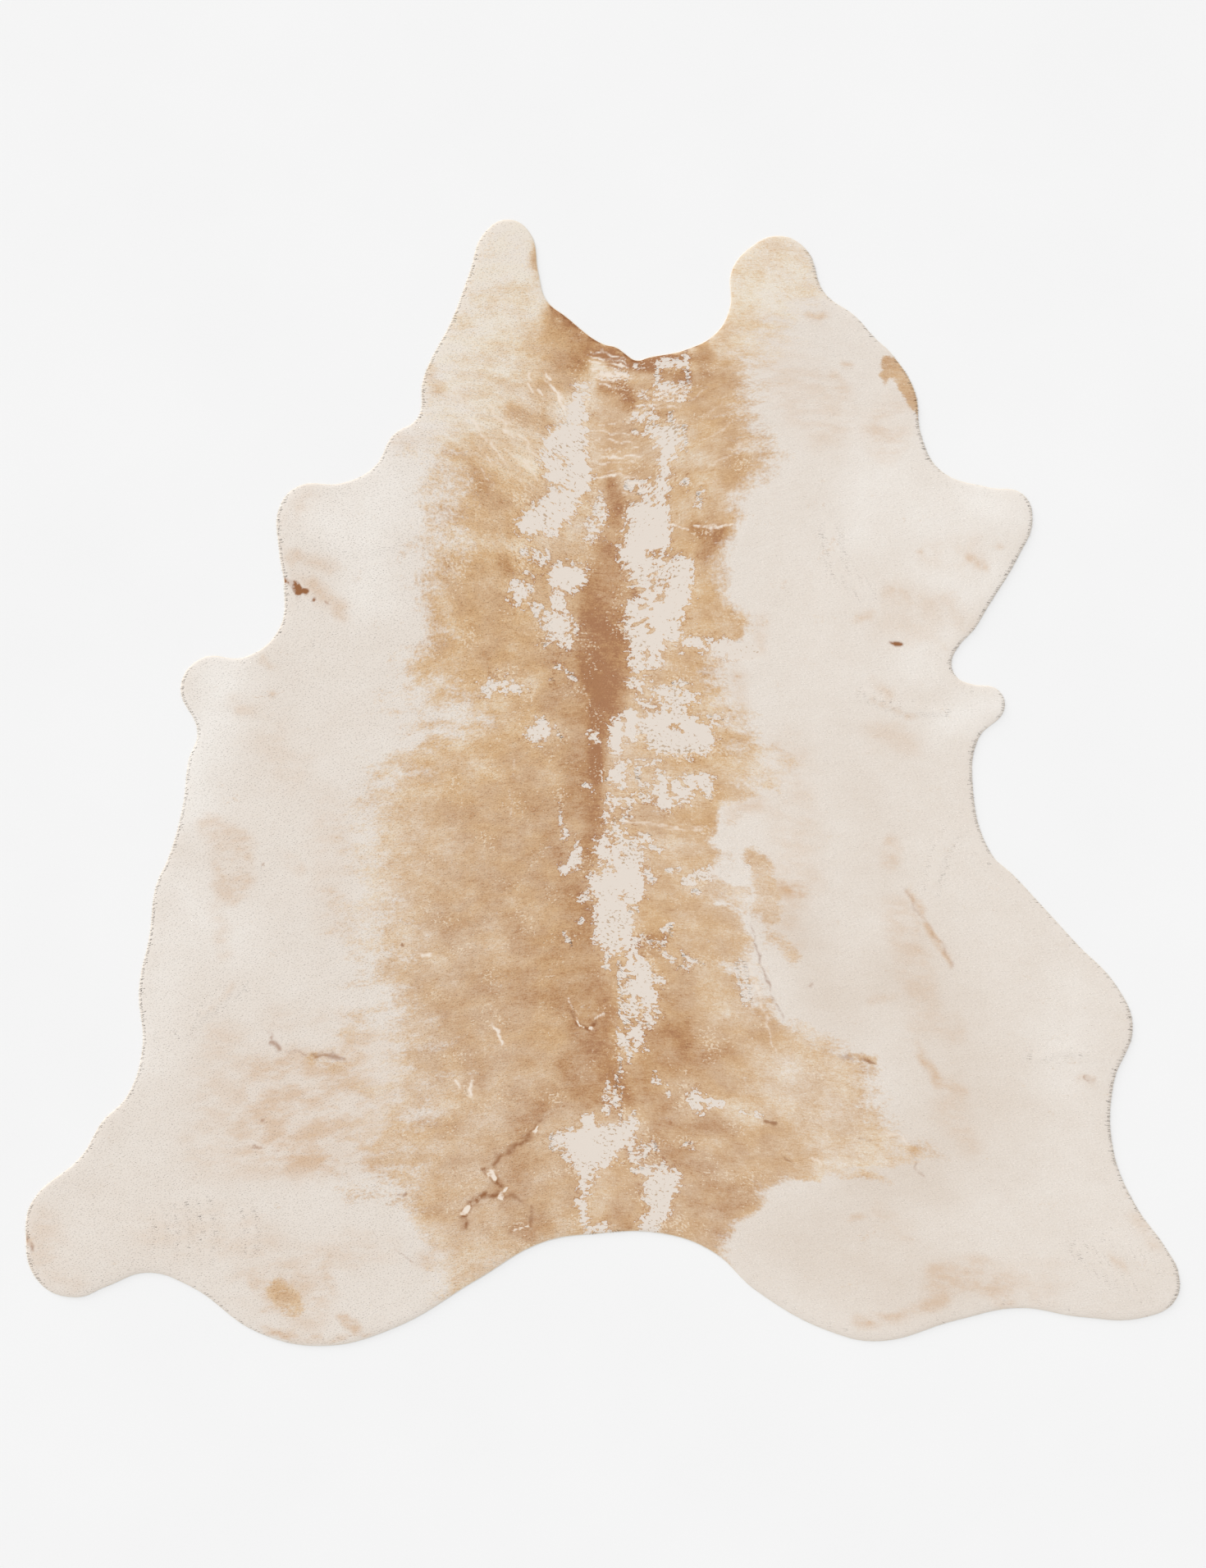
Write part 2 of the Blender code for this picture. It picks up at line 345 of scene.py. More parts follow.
)

# Where the tan's edge leaves the bands: over 0 adds tan, under 0 takes it away
COVER_STROKES = strokes(
    # Left thigh and right hip
    (0.5, 30, (-550, -524, 8), (-490, -528, 10)),
    (-0.6, 40, (-500, -760, 26), (-450, -785, 18)),
    (0.2, 20, (450, -744, 8), (540, -748, 8)),
    # Right shoulder's edge, where tan reaches over the cut
    (1.8, 10, (540, 798, 14), (536, 768, 12)),
    (1.8, 10, (560, 784, 18), (584, 744, 18), (598, 712, 10)),
    (1.0, 16, (600, 700, 8), (606, 680, 8)),
    # Left shoulder, where it is wispy
    (-0.5, 40, (-310, 128, 26), (-220, 122, 14)),
    (-0.7, 24, (-380, 190, 16), (-345, 150, 18)),
    (0.3, 26, (-330, 560, 10), (-325, 500, 12)),
    # Pale gaps
    (1.3, 26, (284, -134, 14), (292, -160, 22), (296, -195, 28), (304, -225, 28), (318, -254, 18)),
    (0.9, 30, (318, -296, 8), (346, -314, 20), (360, -328, 16)),
    (1.1, 14, (215, -192, 8), (236, -204, 9), (262, -206, 10)),
    (-1.4, 10, (236, -56, 14), (244, -90, 22), (246, -122, 22), (242, -150, 20), (236, -172, 12)),
    (-1.2, 6, (206, -222, 3), (238, -232, 5), (262, -247, 7), (276, -266, 8), (290, -292, 8), (302, -325, 9)),
    (-1.3, 12, (236, -344, 8), (268, -362, 12), (296, -350, 12)),
    (-0.3, 14, (284, -388, 14), (284, -420, 10)),
    (-1.2, 12, (302, -340, 12), (322, -400, 12), (342, -450, 8)),
    (-0.8, 20, (250, 248, 16), (285, 250, 12)),
    # Tufts past the edge
    (0.5, 8, (300, -14, 5), (345, -22, 4)),
    (1.0, 16, (-612, -958, 22), (-588, -988, 26)),
    (0.9, 12, (470, -516, 6), (515, -528, 5)),
)

# Where the tan hair is worn off, from the neck to the rump: 1 bares the skin, 0 leaves the hair
WORN_NECK = strokes(
    (1, 3, (2, 772, 4), (25, 771, 6), (42, 770, 4)),
    (1, 3, (66, 785, 2), (75, 785, 2)),
    (1, 3, (106, 792, 7), (152, 792, 7)),
    (1, 3, (156, 808, 5), (157, 795, 6), (158, 786, 5)),
    (1, 3, (103, 780, 4), (103, 760, 4)),
    (1, 3, (106, 748, 6), (158, 748, 7)),
    (1, 2, (161, 785, 2), (161, 752, 2)),
    (0.5, 12, (78, 731, 13), (152, 731, 14)),
    (0, 3, (86, 743, 2), (98, 746, 2)),
    (0, 4, (114, 738, 3), (114, 732, 3)),
    (0, 4, (148, 742, 2), (158, 734, 2)),
)

WORN_LEFT = strokes(
    (1, 3, (-50, 752, 5), (-32, 750, 5)),
    (0.8, 9, (-52, 730, 10), (-28, 730, 9)),
    (1, 4, (-52, 712, 16), (-50, 694, 20)),
    (0.4, 10, (-82, 690, 9), (-80, 680, 8)),
    (1, 4, (-88, 662, 14), (-52, 664, 20)),
    (1, 4, (-84, 640, 28), (-58, 640, 28)),
    (1, 4, (-88, 612, 28), (-60, 612, 30)),
    (1, 4, (-88, 586, 22), (-46, 586, 24)),
    (1, 4, (-66, 562, 14), (-40, 562, 15)),
    (1, 4, (-88, 538, 16), (-54, 538, 15)),
    (1, 5, (-104, 520, 20), (-68, 520, 17)),
    (1, 5, (-125, 505, 20), (-84, 505, 19)),
    (1, 5, (-142, 486, 19), (-98, 488, 18)),
    (0, 3, (-92, 615, 2), (-68, 614, 2)),
    (0, 3, (-76, 602, 2), (-58, 600, 2)),
    (1, 4, (-6, 538, 6), (-5, 515, 9), (-6, 493, 9)),
    (1, 4, (-20, 492, 9), (-18, 475, 11), (-18, 460, 8)),
    # Below the shoulder
    (0.48, 16, (-150, 430, 12), (-112, 425, 22)),
    (0.42, 14, (-140, 395, 14), (-142, 350, 14)),
    (1, 4, (-82, 396, 20), (-50, 392, 20)),
    (1, 4, (-84, 378, 17), (-56, 378, 16)),
    (1, 5, (-154, 434, 5), (-140, 434, 6)),
    (1, 5, (-162, 372, 11), (-158, 352, 14)),
    (0.62, 12, (-128, 335, 12), (-110, 308, 20), (-92, 284, 16)),
    (0.85, 8, (-86, 350, 14), (-78, 312, 16), (-72, 276, 16), (-68, 262, 10)),
    (0.4, 10, (-120, 262, 8), (-100, 268, 8)),
    (1, 4, (-75, 288, 12), (-72, 268, 13)),
    (1, 4, (-68, 306, 5), (-56, 306, 5)),
    (1, 4, (-54, 288, 4), (-52, 287, 4)),
    (1, 3, (-114, 260, 3), (-110, 261, 2)),
    (1, 3, (-88, 217, 4), (-86, 214, 3)),
    (1, 3, (-70, 211, 2), (-58, 202, 3), (-50, 193, 2)),
    (1, 3, (-96, 195, 3), (-94, 194, 2)),
    (1, 6, (-222, 172, 7), (-205, 184, 9), (-186, 188, 9)),
    (1, 5, (-190, 186, 10), (-165, 180, 9), (-155, 176, 4)),
    (1, 4, (-112, 112, 9), (-110, 104, 13)),
    (1, 4, (-120, 98, 14), (-132, 92, 11)),
    (1, 4, (-128, 88, 10), (-118, 87, 8)),
    (0.35, 8, (-90, 104, 6), (-80, 88, 6)),
    (1, 3, (-84, 92, 4), (-80, 87, 3)),
    (1, 3, (-20, 90, 6), (-15, 79, 4)),
    # Flank
    (1, 2, (-38, -4, 2), (-32, -4, 2)),
    (0.3, 5, (-24, -6, 6), (-16, -24, 7)),
    (0.42, 8, (-82, -42, 7), (-80, -75, 8), (-70, -104, 12)),
    (1, 3, (-48, -122, 5), (-52, -142, 11), (-60, -156, 12), (-70, -164, 9)),
    (1, 2, (-74, -166, 4), (-80, -175, 2)),
    (1, 2, (-40, -259, 2), (-45, -265, 2)),
    (0.6, 5, (-74, -284, 5), (-68, -298, 5)),
    (0.6, 5, (-62, -298, 4), (-60, -308, 4)),
)

WORN_RIGHT = strokes(
    (1, 5, (62, 696, 8), (88, 695, 9)),
    (1, 3, (130, 698, 4), (130, 682, 4)),
    (0.8, 8, (60, 662, 8), (74, 658, 8)),
    (1, 4, (98, 664, 14), (132, 660, 16)),
    (1, 4, (118, 640, 16), (134, 640, 16)),
    (0.6, 8, (155, 672, 7), (155, 630, 8)),
    (1, 4, (124, 626, 18), (118, 612, 9), (117, 585, 8)),
    (1, 4, (110, 568, 12), (107, 535, 13)),
    (0.75, 10, (50, 562, 13), (76, 556, 17), (90, 540, 15)),
    (1, 4, (66, 510, 20), (104, 508, 22)),
    (1, 4, (72, 484, 22), (106, 486, 22)),
    (1, 4, (60, 458, 24), (102, 460, 24)),
    (1, 4, (48, 438, 19), (80, 440, 20)),
    (1, 4, (155, 568, 4), (156, 564, 4)),
    (1, 5, (182, 545, 5), (184, 534, 5)),
    (1, 4, (48, 425, 18), (70, 418, 20), (96, 412, 18)),
    (0.4, 6, (88, 430, 7), (120, 436, 10), (144, 430, 9)),
    (0, 4, (86, 430, 3), (100, 428, 4), (126, 436, 5)),
    (1, 5, (100, 402, 22), (100, 385, 22)),
    (1, 4, (68, 398, 15), (72, 378, 18)),
    (1, 5, (88, 352, 15), (112, 352, 20)),
    (0, 4, (62, 362, 10), (54, 348, 8), (50, 334, 6)),
    (0, 6, (90, 384, 6), (108, 378, 6)),
    (0, 5, (106, 352, 4), (122, 346, 4)),
    (1, 4, (146, 408, 20), (146, 380, 24), (144, 350, 22)),
    (1, 4, (66, 326, 22), (132, 326, 24)),
    (1, 4, (66, 296, 23), (118, 298, 26)),
    (1, 4, (70, 262, 23), (98, 264, 22)),
    (1, 4, (72, 234, 20), (90, 236, 20)),
    (1, 4, (138, 280, 11), (142, 278, 10)),
    (1, 6, (130, 274, 8), (160, 269, 9), (190, 263, 8), (220, 257, 9)),
    (0.8, 12, (235, 250, 20), (280, 247, 20)),
    (0, 3, (72, 332, 2), (88, 330, 2)),
    (0, 3, (82, 296, 2), (93, 288, 2)),
    (0, 2, (85, 310, 2), (52, 297, 2), (62, 296, 1)),
    (0, 3, (118, 268, 2), (120, 272, 2)),
    (0, 3, (81, 249, 2), (82, 242, 2)),
    (0, 3, (78, 226, 3), (84, 220, 3)),
    (0.45, 10, (64, 212, 10), (72, 192, 12), (94, 200, 10)),
    (0.42, 8, (66, 172, 14), (84, 140, 12), (108, 146, 8)),
    (1, 4, (58, 190, 8), (66, 188, 7)),
    (1, 3, (132, 188, 3), (162, 187, 3)),
    (1, 5, (96, 168, 8), (130, 166, 14), (165, 162, 12)),
    (1, 5, (122, 145, 15), (145, 140, 14)),
    (0.35, 8, (62, 158, 9), (92, 152, 10)),
    (0.45, 6, (72, 130, 8), (100, 137, 9)),
    (1, 3, (32, 112, 13), (26, 90, 15), (25, 66, 14)),
    (1, 3, (52, 128, 13), (58, 104, 24)),
    (1, 4, (96, 104, 28), (140, 106, 32), (175, 92, 28)),
    (1, 4, (112, 80, 28), (160, 80, 30), (192, 78, 20)),
    (0, 3, (64, 84, 5), (79, 84, 7)),
    (0, 3, (40, 77, 4), (40, 68, 3)),
    (0, 4, (62, 67, 5), (76, 60, 9), (98, 51, 8)),
    (0, 4, (86, 46, 8), (88, 34, 6)),
    (0, 3, (66, 104, 2), (65, 100, 2)),
    (0, 3, (129, 107, 2), (136, 101, 2), (148, 99, 2)),
    (0, 2, (40, 118, 1), (40, 106, 1)),
    (1, 6, (205, 122, 6), (225, 120, 5)),
    # Under the ribs
    (0.5, 8, (20, 42, 9), (60, 38, 10), (106, 38, 8)),
    (1, 3, (14, 22, 9), (33, 19, 11)),
    (1, 3, (12, 8, 7), (36, 4, 8), (40, -8, 5)),
    (0.6, 7, (66, 24, 9), (68, 6, 8)),
    (0.5, 8, (76, -10, 14), (80, -30, 13)),
    (1, 4, (12, -30, 7), (30, -34, 7), (50, -33, 8)),
    (1, 4, (50, -42, 6), (49, -50, 3)),
    (1, 4, (8, -57, 5), (8, -70, 5)),
    (1, 5, (22, -71, 4), (48, -66, 4)),
    (1, 4, (112, 6, 12), (110, -15, 15), (117, -34, 16), (120, -42, 9)),
    (1, 4, (138, -4, 12), (150, -20, 15), (162, -28, 9)),
    (1, 4, (165, 4, 14), (190, 5, 14), (200, -8, 10)),
    (0.9, 5, (196, -24, 8), (206, -30, 6)),
    (1, 3, (90, -121, 2), (106, -127, 4)),
    (0.55, 6, (122, -166, 6), (142, -166, 9)),
    (0.8, 14, (158, -186, 13), (196, -172, 18)),
    (0.7, 10, (172, -207, 8), (182, -206, 8)),
    (0.5, 16, (230, -170, 16), (270, -160, 14)),
    (0.5, 5, (106, -280, 5), (128, -275, 7), (130, -292, 5)),
    (1, 3, (128, -268, 3), (128, -286, 3)),
    (1, 3, (76, -290, 3), (92, -299, 3)),
    (1, 3, (106, -303, 3), (116, -306, 3)),
    (0.45, 6, (110, -318, 6), (136, -338, 8)),
    (1, 3, (154, -330, 6), (166, -334, 4)),
    (1, 2, (166, -334, 2), (192, -345, 2)),
    (1, 3, (146, -348, 3), (156, -352, 3)),
    (0.66, 14, (262, -345, 16), (272, -410, 16)),
    (1, 3, (94, -428, 3), (106, -436, 4)),
    (0.4, 6, (98, -540, 6), (98, -565, 8), (118, -570, 8), (124, -590, 7)),
    (1, 5, (174, -592, 11), (182, -610, 12)),
    (0.9, 8, (204, -606, 10), (224, -608, 10)),
    (0.5, 10, (262, -622, 8), (300, -630, 8)),
)

WORN_MIDDLE = strokes(
    (1, 4, (24, -88, 7), (36, -94, 8)),
    (1, 4, (0, -110, 10), (4, -128, 18)),
    (1, 4, (30, -118, 14), (28, -140, 22)),
    (1, 4, (58, -112, 9), (86, -103, 7)),
    (1, 4, (54, -142, 24), (46, -165, 32)),
    (1, 4, (0, -184, 22), (30, -190, 32), (50, -195, 31)),
    (1, 4, (-18, -184, 11), (6, -212, 25), (46, -210, 28)),
    (1, 3, (-28, -216, 7), (-40, -222, 4)),
    (1, 4, (16, -245, 35), (25, -264, 35), (22, -284, 38)),
    (1, 4, (18, -296, 16), (44, -302, 17)),
    (1, 3, (80, -166, 4), (97, -185, 3)),
    (0, 4, (-14, -150, 7), (-8, -166, 7)),
    (0, 3, (0, -160, 2), (14, -159, 2)),
    (0, 3, (16, -146, 2), (21, -162, 2)),
    (0, 4, (15, -104, 4), (17, -113, 4)),
    (0.4, 4, (68, -121, 5), (72, -124, 5)),
    (0, 3, (36, -134, 2), (40, -139, 2)),
    (0, 3, (37, -217, 3), (39, -216, 2)),
    (0, 3, (47, -232, 2), (47, -242, 2)),
    (0.5, 5, (64, -230, 4), (66, -244, 4)),
    (0, 3, (55, -295, 4), (58, -296, 3)),
    (1, 3, (9, -330, 4), (7, -351, 4)),
    (1, 4, (54, -322, 12), (62, -345, 20), (70, -366, 26)),
    (1, 3, (84, -368, 18), (100, -372, 8), (115, -377, 3)),
    (1, 4, (70, -390, 30), (74, -404, 28)),
    (0.6, 4, (32, -340, 6), (34, -440, 6)),
    (0, 2, (31, -286, 1), (31, -300, 1)),
    (0, 3, (42, -313, 2), (41, -322, 2)),
    (0, 2, (59, -320, 1), (60, -338, 1)),
    (0, 3, (46, -376, 3), (49, -374, 2)),
    (0, 3, (57, -367, 2), (58, -372, 2)),
    (0.7, 7, (40, -425, 9), (46, -450, 10)),
    (1, 4, (88, -408, 12), (88, -430, 8), (86, -452, 7)),
    (1, 4, (56, -414, 10), (60, -440, 6)),
    (0, 4, (68, -412, 3), (74, -436, 4)),
    (0.8, 5, (28, -464, 5), (34, -482, 9)),
    (1, 4, (66, -462, 10), (58, -482, 17)),
    (1, 4, (40, -491, 9), (58, -500, 14), (56, -513, 7), (52, -520, 3)),
    (0, 3, (54, -486, 3), (50, -505, 3)),
    (0.4, 4, (82, -500, 7), (84, -506, 6)),
    (1, 2, (34, -522, 2), (33, -545, 2)),
    (1, 3, (30, -550, 2), (26, -575, 3), (24, -596, 5), (26, -606, 5)),
    (1, 2, (13, -566, 2), (13, -588, 2)),
    (1, 2, (35, -560, 1), (35, -640, 1)),
    (0.45, 6, (5, -585, 9), (8, -620, 12)),
)

WORN_RUMP = strokes(
    (1, 3, (-28, -636, 12), (-28, -652, 14)),
    (1, 3, (58, -634, 7), (54, -650, 11)),
    (1, 4, (-50, -676, 24), (20, -672, 27), (38, -672, 20)),
    (1, 4, (-70, -672, 16), (-88, -676, 8)),
    (0.7, 5, (-95, -668, 6), (-95, -690, 8)),
    (1, 4, (-30, -700, 34), (-4, -702, 26)),
    (1, 4, (-30, -726, 22), (-28, -746, 13)),
    (0.5, 6, (-78, -700, 10), (-66, -712, 8)),
    (1, 3, (-36, -752, 9), (-34, -776, 6)),
    (1, 3, (-46, -792, 8), (-36, -800, 7), (-36, -812, 4), (-34, -830, 7)),
    (1, 4, (-26, -842, 7), (0, -842, 8), (6, -850, 8)),
    (1, 3, (54, -675, 5), (55, -712, 6)),
    (1, 4, (70, -690, 4), (84, -690, 5)),
    (1, 4, (64, -712, 5), (82, -710, 5)),
    (0, 3, (74, -699, 4), (80, -700, 4)),
    (0.7, 5, (62, -735, 8), (56, -732, 6)),
    (1, 4, (76, -733, 6), (98, -738, 12)),
    (1, 4, (113, -726, 5), (118, -740, 14), (132, -748, 16)),
    (1, 4, (105, -755, 26), (122, -758, 20)),
    (1, 4, (102, -778, 24), (110, -780, 22), (107, -802, 20), (98, -822, 18), (84, -842, 16)),
    (0, 3, (76, -724, 2), (82, -730, 3)),
    (1, 3, (155, -682, 3), (165, -684, 3)),
    (1, 3, (100, -682, 2), (101, -694, 2)),
)

# Small marks: light wrinkles and scratches under 0, brown scabs and stains over 0
MARK_STROKES = strokes(
    # Pale wrinkles across the neck
    (-0.9, 2, (-20, 816, 1), (14, 808, 1), (40, 800, 1)),
    (-0.9, 2, (-24, 806, 1), (10, 800, 2), (48, 794, 1)),
    (-0.9, 2, (-22, 797, 1), (20, 792, 2), (52, 786, 1)),
    (-0.9, 2, (-24, 786, 2), (8, 785, 2), (30, 779, 1)),
    (-0.9, 3, (-8, 774, 3), (20, 772, 4), (44, 770, 3)),
    (-0.9, 2, (-22, 767, 1), (10, 764, 2), (56, 762, 1)),
    (-0.8, 2, (-6, 754, 2), (34, 750, 2)),
    (-0.8, 2, (70, 744, 1), (110, 738, 2), (158, 742, 1)),
    (-0.8, 2, (66, 732, 1), (120, 728, 2), (160, 730, 1)),
    (-0.8, 2, (60, 718, 1), (100, 716, 1), (150, 720, 1)),
    (-0.7, 2, (56, 706, 1), (96, 710, 1), (150, 706, 1)),
    (-0.7, 2, (-26, 676, 1), (10, 680, 1), (52, 676, 1)),
    (-0.7, 2, (-22, 662, 1), (20, 658, 1), (60, 664, 1)),
    (-0.7, 2, (-26, 646, 1), (14, 650, 1), (58, 644, 1)),
    (-0.8, 2, (-20, 632, 1), (24, 628, 1), (70, 634, 1)),
    (-0.9, 2, (-10, 620, 1), (30, 617, 2), (76, 612, 1)),
    (-0.7, 2, (-24, 604, 1), (20, 608, 1), (60, 602, 1)),
    (-0.7, 2, (-18, 590, 1), (14, 586, 1), (56, 592, 1)),
    (-0.9, 2, (-14, 577, 1), (26, 580, 2), (66, 578, 1)),
    (-0.7, 2, (40, 562, 1), (70, 566, 1), (96, 560, 1)),
    (-0.6, 2, (36, 548, 1), (74, 552, 1), (98, 546, 1)),
    # Light scratches
    (-0.8, 2, (-108, 770, 2), (-97, 760, 2)),
    (-0.8, 2, (-105, 757, 2), (-90, 740, 2), (-80, 722, 2), (-72, 708, 2)),
    (-0.7, 2, (-140, 772, 2), (-133, 760, 2)),
    (-0.7, 2, (-140, 750, 2), (-135, 738, 2)),
    (-0.7, 2, (-125, 745, 2), (-115, 732, 2)),
    (-0.6, 2, (-196, 687, 2), (-173, 654, 2)),
    (-0.6, 2, (-250, 687, 2), (-219, 646, 2)),
    (-0.5, 3, (-300, 742, 1), (-280, 712, 1)),
    (-0.5, 3, (-282, 748, 1), (-262, 716, 1)),
    (-0.5, 3, (-262, 735, 1), (-246, 708, 1)),
    (-0.5, 3, (-235, 600, 1), (-205, 558, 1)),
    (-0.6, 3, (-215, 712, 2), (-180, 668, 1)),
    (-0.5, 3, (-190, 722, 1), (-168, 690, 1)),
    (-0.5, 3, (-240, 640, 1), (-205, 598, 1)),
    (-0.6, 3, (-210, 640, 2), (-178, 600, 1)),
    (-0.5, 3, (-185, 640, 1), (-150, 596, 1)),
    (-0.6, 3, (-160, 660, 2), (-128, 618, 1)),
    (-0.6, 3, (-150, 610, 2), (-118, 572, 1)),
    (-0.5, 3, (-180, 590, 1), (-150, 556, 1)),
    (-0.5, 3, (165, 720, 1), (195, 745, 1)),
    (-0.5, 3, (190, 690, 1), (225, 722, 1)),
    (-0.5, 3, (215, 660, 1), (255, 690, 1)),
    (-0.5, 3, (180, 640, 1), (230, 668, 1)),
    (-0.5, 3, (240, 630, 1), (290, 655, 1)),
    (-0.5, 3, (200, 600, 1), (250, 622, 1)),
    (-0.5, 3, (170, 560, 1), (220, 570, 1)),
    (-0.8, 2, (132, 492, 2), (145, 485, 2), (160, 478, 2)),
    (-0.8, 2, (170, 485, 2), (245, 487, 2)),
    (-0.5, 2, (40, -75, 2), (110, -80, 2), (190, -91, 2)),
    (-0.5, 2, (60, -81, 1), (120, -86, 2), (215, -84, 1)),
    (-0.5, 2, (-172, 42, 1), (-172, 8, 1)),
    (-0.5, 2, (-173, -10, 1), (-174, -36, 1)),
    (-0.5, 2, (-169, -42, 1), (-170, -62, 1)),
    (-0.5, 2, (275, -330, 2), (300, -420, 2), (330, -520, 1)),
    # Scabs and stains of the sides
    (0.9, 5, (-599, 384, 5), (-575, 366, 8), (-560, 361, 6)),
    (0.8, 3, (-545, 343, 3), (-543, 342, 3)),
    (0.6, 3, (-524, 340, 3), (-522, 339, 3)),
    (0.8, 4, (544, 262, 3), (568, 260, 4)),
    (0.5, 3, (-643, -153, 3), (-642, -152, 3)),
    (0.5, 8, (-631, -476, 3), (-626, -492, 4), (-612, -502, 4)),
    (0.35, 4, (-600, -507, 2), (-560, -512, 2)),
    (0.5, 10, (-545, -514, 4), (-505, -521, 6), (-490, -525, 5)),
    (0.5, 3, (-644, -641, 3), (-641, -642, 3)),
    (0.5, 4, (-658, -690, 4), (-645, -692, 3)),
    (0.4, 3, (-616, -697, 3), (-614, -696, 2)),
    (0.4, 3, (-505, -714, 3), (-500, -713, 2)),
    (0.3, 3, (393, -379, 3), (394, -379, 3)),
    (0.6, 4, (490, -523, 4), (512, -528, 3)),
    (0.35, 4, (448, -518, 3), (476, -520, 3)),
    (0.6, 4, (308, -643, 4), (326, -647, 4)),
    (0.5, 4, (336, -706, 2), (352, -715, 3)),
    (0.35, 3, (484, -672, 2), (502, -678, 2)),
    (0.35, 3, (586, -700, 1), (592, -728, 2), (604, -742, 1)),
    (-0.6, 3, (530, -656, 1), (560, -664, 2), (584, -690, 1)),
    (-0.7, 3, (396, -712, 1), (412, -722, 2)),
    (0.4, 4, (915, -556, 5), (930, -560, 4)),
    (0.5, 5, (-1088, -860, 3), (-1075, -880, 5)),
    (0.20, 5, (572, -202, 2), (600, -248, 2), (640, -305, 2), (658, -348, 2)),
    (0.45, 4, (280, -268, 1), (298, -330, 2), (318, -390, 2), (340, -446, 2)),
    (0.5, 3, (-385, -782, 3), (-370, -780, 3)),
    (0.4, 3, (-390, -886, 1), (-362, -903, 1)),
    # The dark lip of the neck's notch
    (1.1, 5, (-98, 903, 5), (-66, 884, 8), (-32, 858, 8), (2, 833, 8), (27, 827, 8)),
    (1.1, 5, (27, 827, 8), (45, 814, 8), (64, 802, 8), (89, 808, 7), (150, 821, 6), (196, 840, 4)),
    # A healed scar that branches over the rump
    (0.7, 11, (-114, -640, 3), (-130, -660, 5), (-158, -680, 5), (-190, -704, 5), (-222, -732, 4)),
    (0.8, 11, (-222, -732, 4), (-202, -750, 5), (-190, -776, 6)),
    (0.8, 11, (-190, -776, 5), (-225, -782, 5), (-252, -792, 5), (-264, -815, 6), (-260, -842, 3)),
    (0.5, 8, (-185, -778, 4), (-150, -788, 3), (-136, -812, 4), (-140, -838, 4)),
    (0.45, 7, (-140, -838, 3), (-160, -846, 3), (-176, -852, 2)),
    (-1.2, 2, (-118, -648, 1), (-132, -664, 3)),
    (-1.2, 2, (-214, -736, 4), (-204, -748, 3)),
    (-1.2, 2, (-186, -764, 2), (-192, -780, 5)),
    (-1.2, 2, (-256, -798, 3), (-264, -816, 4)),
    (-1.0, 2, (-142, -836, 1), (-168, -850, 2)),
    # One on the hip, and old bites
    (0.8, 7, (-56, -432, 3), (-50, -450, 4), (-26, -466, 4), (-12, -448, 3)),
    (-1.2, 2, (-52, -440, 1), (-44, -454, 2), (-36, -460, 1)),
    (-1.2, 2, (-28, -462, 2), (-22, -466, 2)),
    (-0.9, 2, (-14, -444, 1), (4, -436, 2)),
    (-0.8, 2, (-68, -406, 1), (-50, -430, 1)),
    (-1.0, 3, (-212, -452, 2), (-196, -470, 3), (-190, -494, 2)),
    (-0.9, 3, (-280, -560, 2), (-268, -578, 2)),
    (-0.9, 3, (-250, -556, 2), (-246, -590, 2)),
    (-0.8, 3, (-345, -322, 2), (-330, -324, 2)),
    (0.6, 3, (-380, -306, 3), (-379, -307, 3)),
)

# Where the pale ground is whiter or greyer than the rest
PALE_STROKES = strokes(
    (1.0, 80, (-190, 1000, 40), (-170, 1030, 30)),
    (0.8, 90, (-250, 800, 30), (-270, 740, 20)),
    (0.72, 160, (-420, 700, 60), (-420, 520, 60)),
    (0.95, 120, (-560, 520, 40), (-500, 480, 40)),
    (1.0, 120, (-720, 190, 50), (-760, 60, 50), (-770, -60, 30)),
    (0.8, 120, (-820, -300, 30), (-860, -520, 30)),
    (1.0, 140, (700, 530, 50), (780, 500, 30)),
    (0.75, 140, (540, 620, 60), (660, 400, 60)),
    (1.0, 90, (740, 150, 30), (650, 120, 20)),
    (0.7, 140, (900, -400, 40), (860, -560, 40)),
    (0.85, 90, (740, 400, 30), (700, 360, 20)),
    (0.85, 120, (-430, 560, 40), (-450, 350, 40)),
    (0.85, 120, (-800, -200, 30), (-700, -300, 40)),
    (0.35, 200, (480, 0, 60), (500, -160, 60)),
    (0.2, 200, (600, -340, 50), (700, -600, 100), (620, -720, 80)),
    (0.15, 200, (350, -860, 60), (620, -960, 60)),
    (0.15, 160, (360, -260, 40), (430, -420, 60), (540, -380, 60)),
    (0.10, 160, (470, -770, 50), (580, -730, 50)),
    (0.85, 100, (590, 240, 40), (640, 275, 30)),
    (0.80, 120, (490, 540, 40), (480, 480, 40)),
    (0.55, 160, (900, -760, 60), (980, -860, 60)),
    (0.5, 160, (-850, -800, 80), (-600, -920, 60)),
)

# Where the tan is more ochre or more pinkish than the rest
WARMTH_STROKES = strokes(
    (0.85, 200, (-200, 560, 100), (-240, 100, 120)),
    (0.8, 160, (-180, 840, 60), (330, 900, 80)),
    (0.8, 120, (200, 700, 40), (180, 300, 60), (200, -60, 60)),
    (0.1, 200, (-160, -520, 100), (-240, -800, 90)),
    (0.2, 160, (-330, -160, 60), (-330, -420, 60)),
    (0.2, 160, (60, -640, 60), (200, -780, 80)),
    (0.2, 240, (700, -300, 100), (700, -760, 100)),
    (0.1, 100, (345, -560, 40), (440, -640, 60)),
    (0.1, 100, (260, -180, 60), (330, -300, 40)),
    (0.2, 100, (-240, -300, 60), (-400, -560, 80)),
    (0.75, 120, (60, -560, 50), (110, -260, 50)),
    (0.7, 120, (-90, -300, 60), (-100, -480, 60)),
)

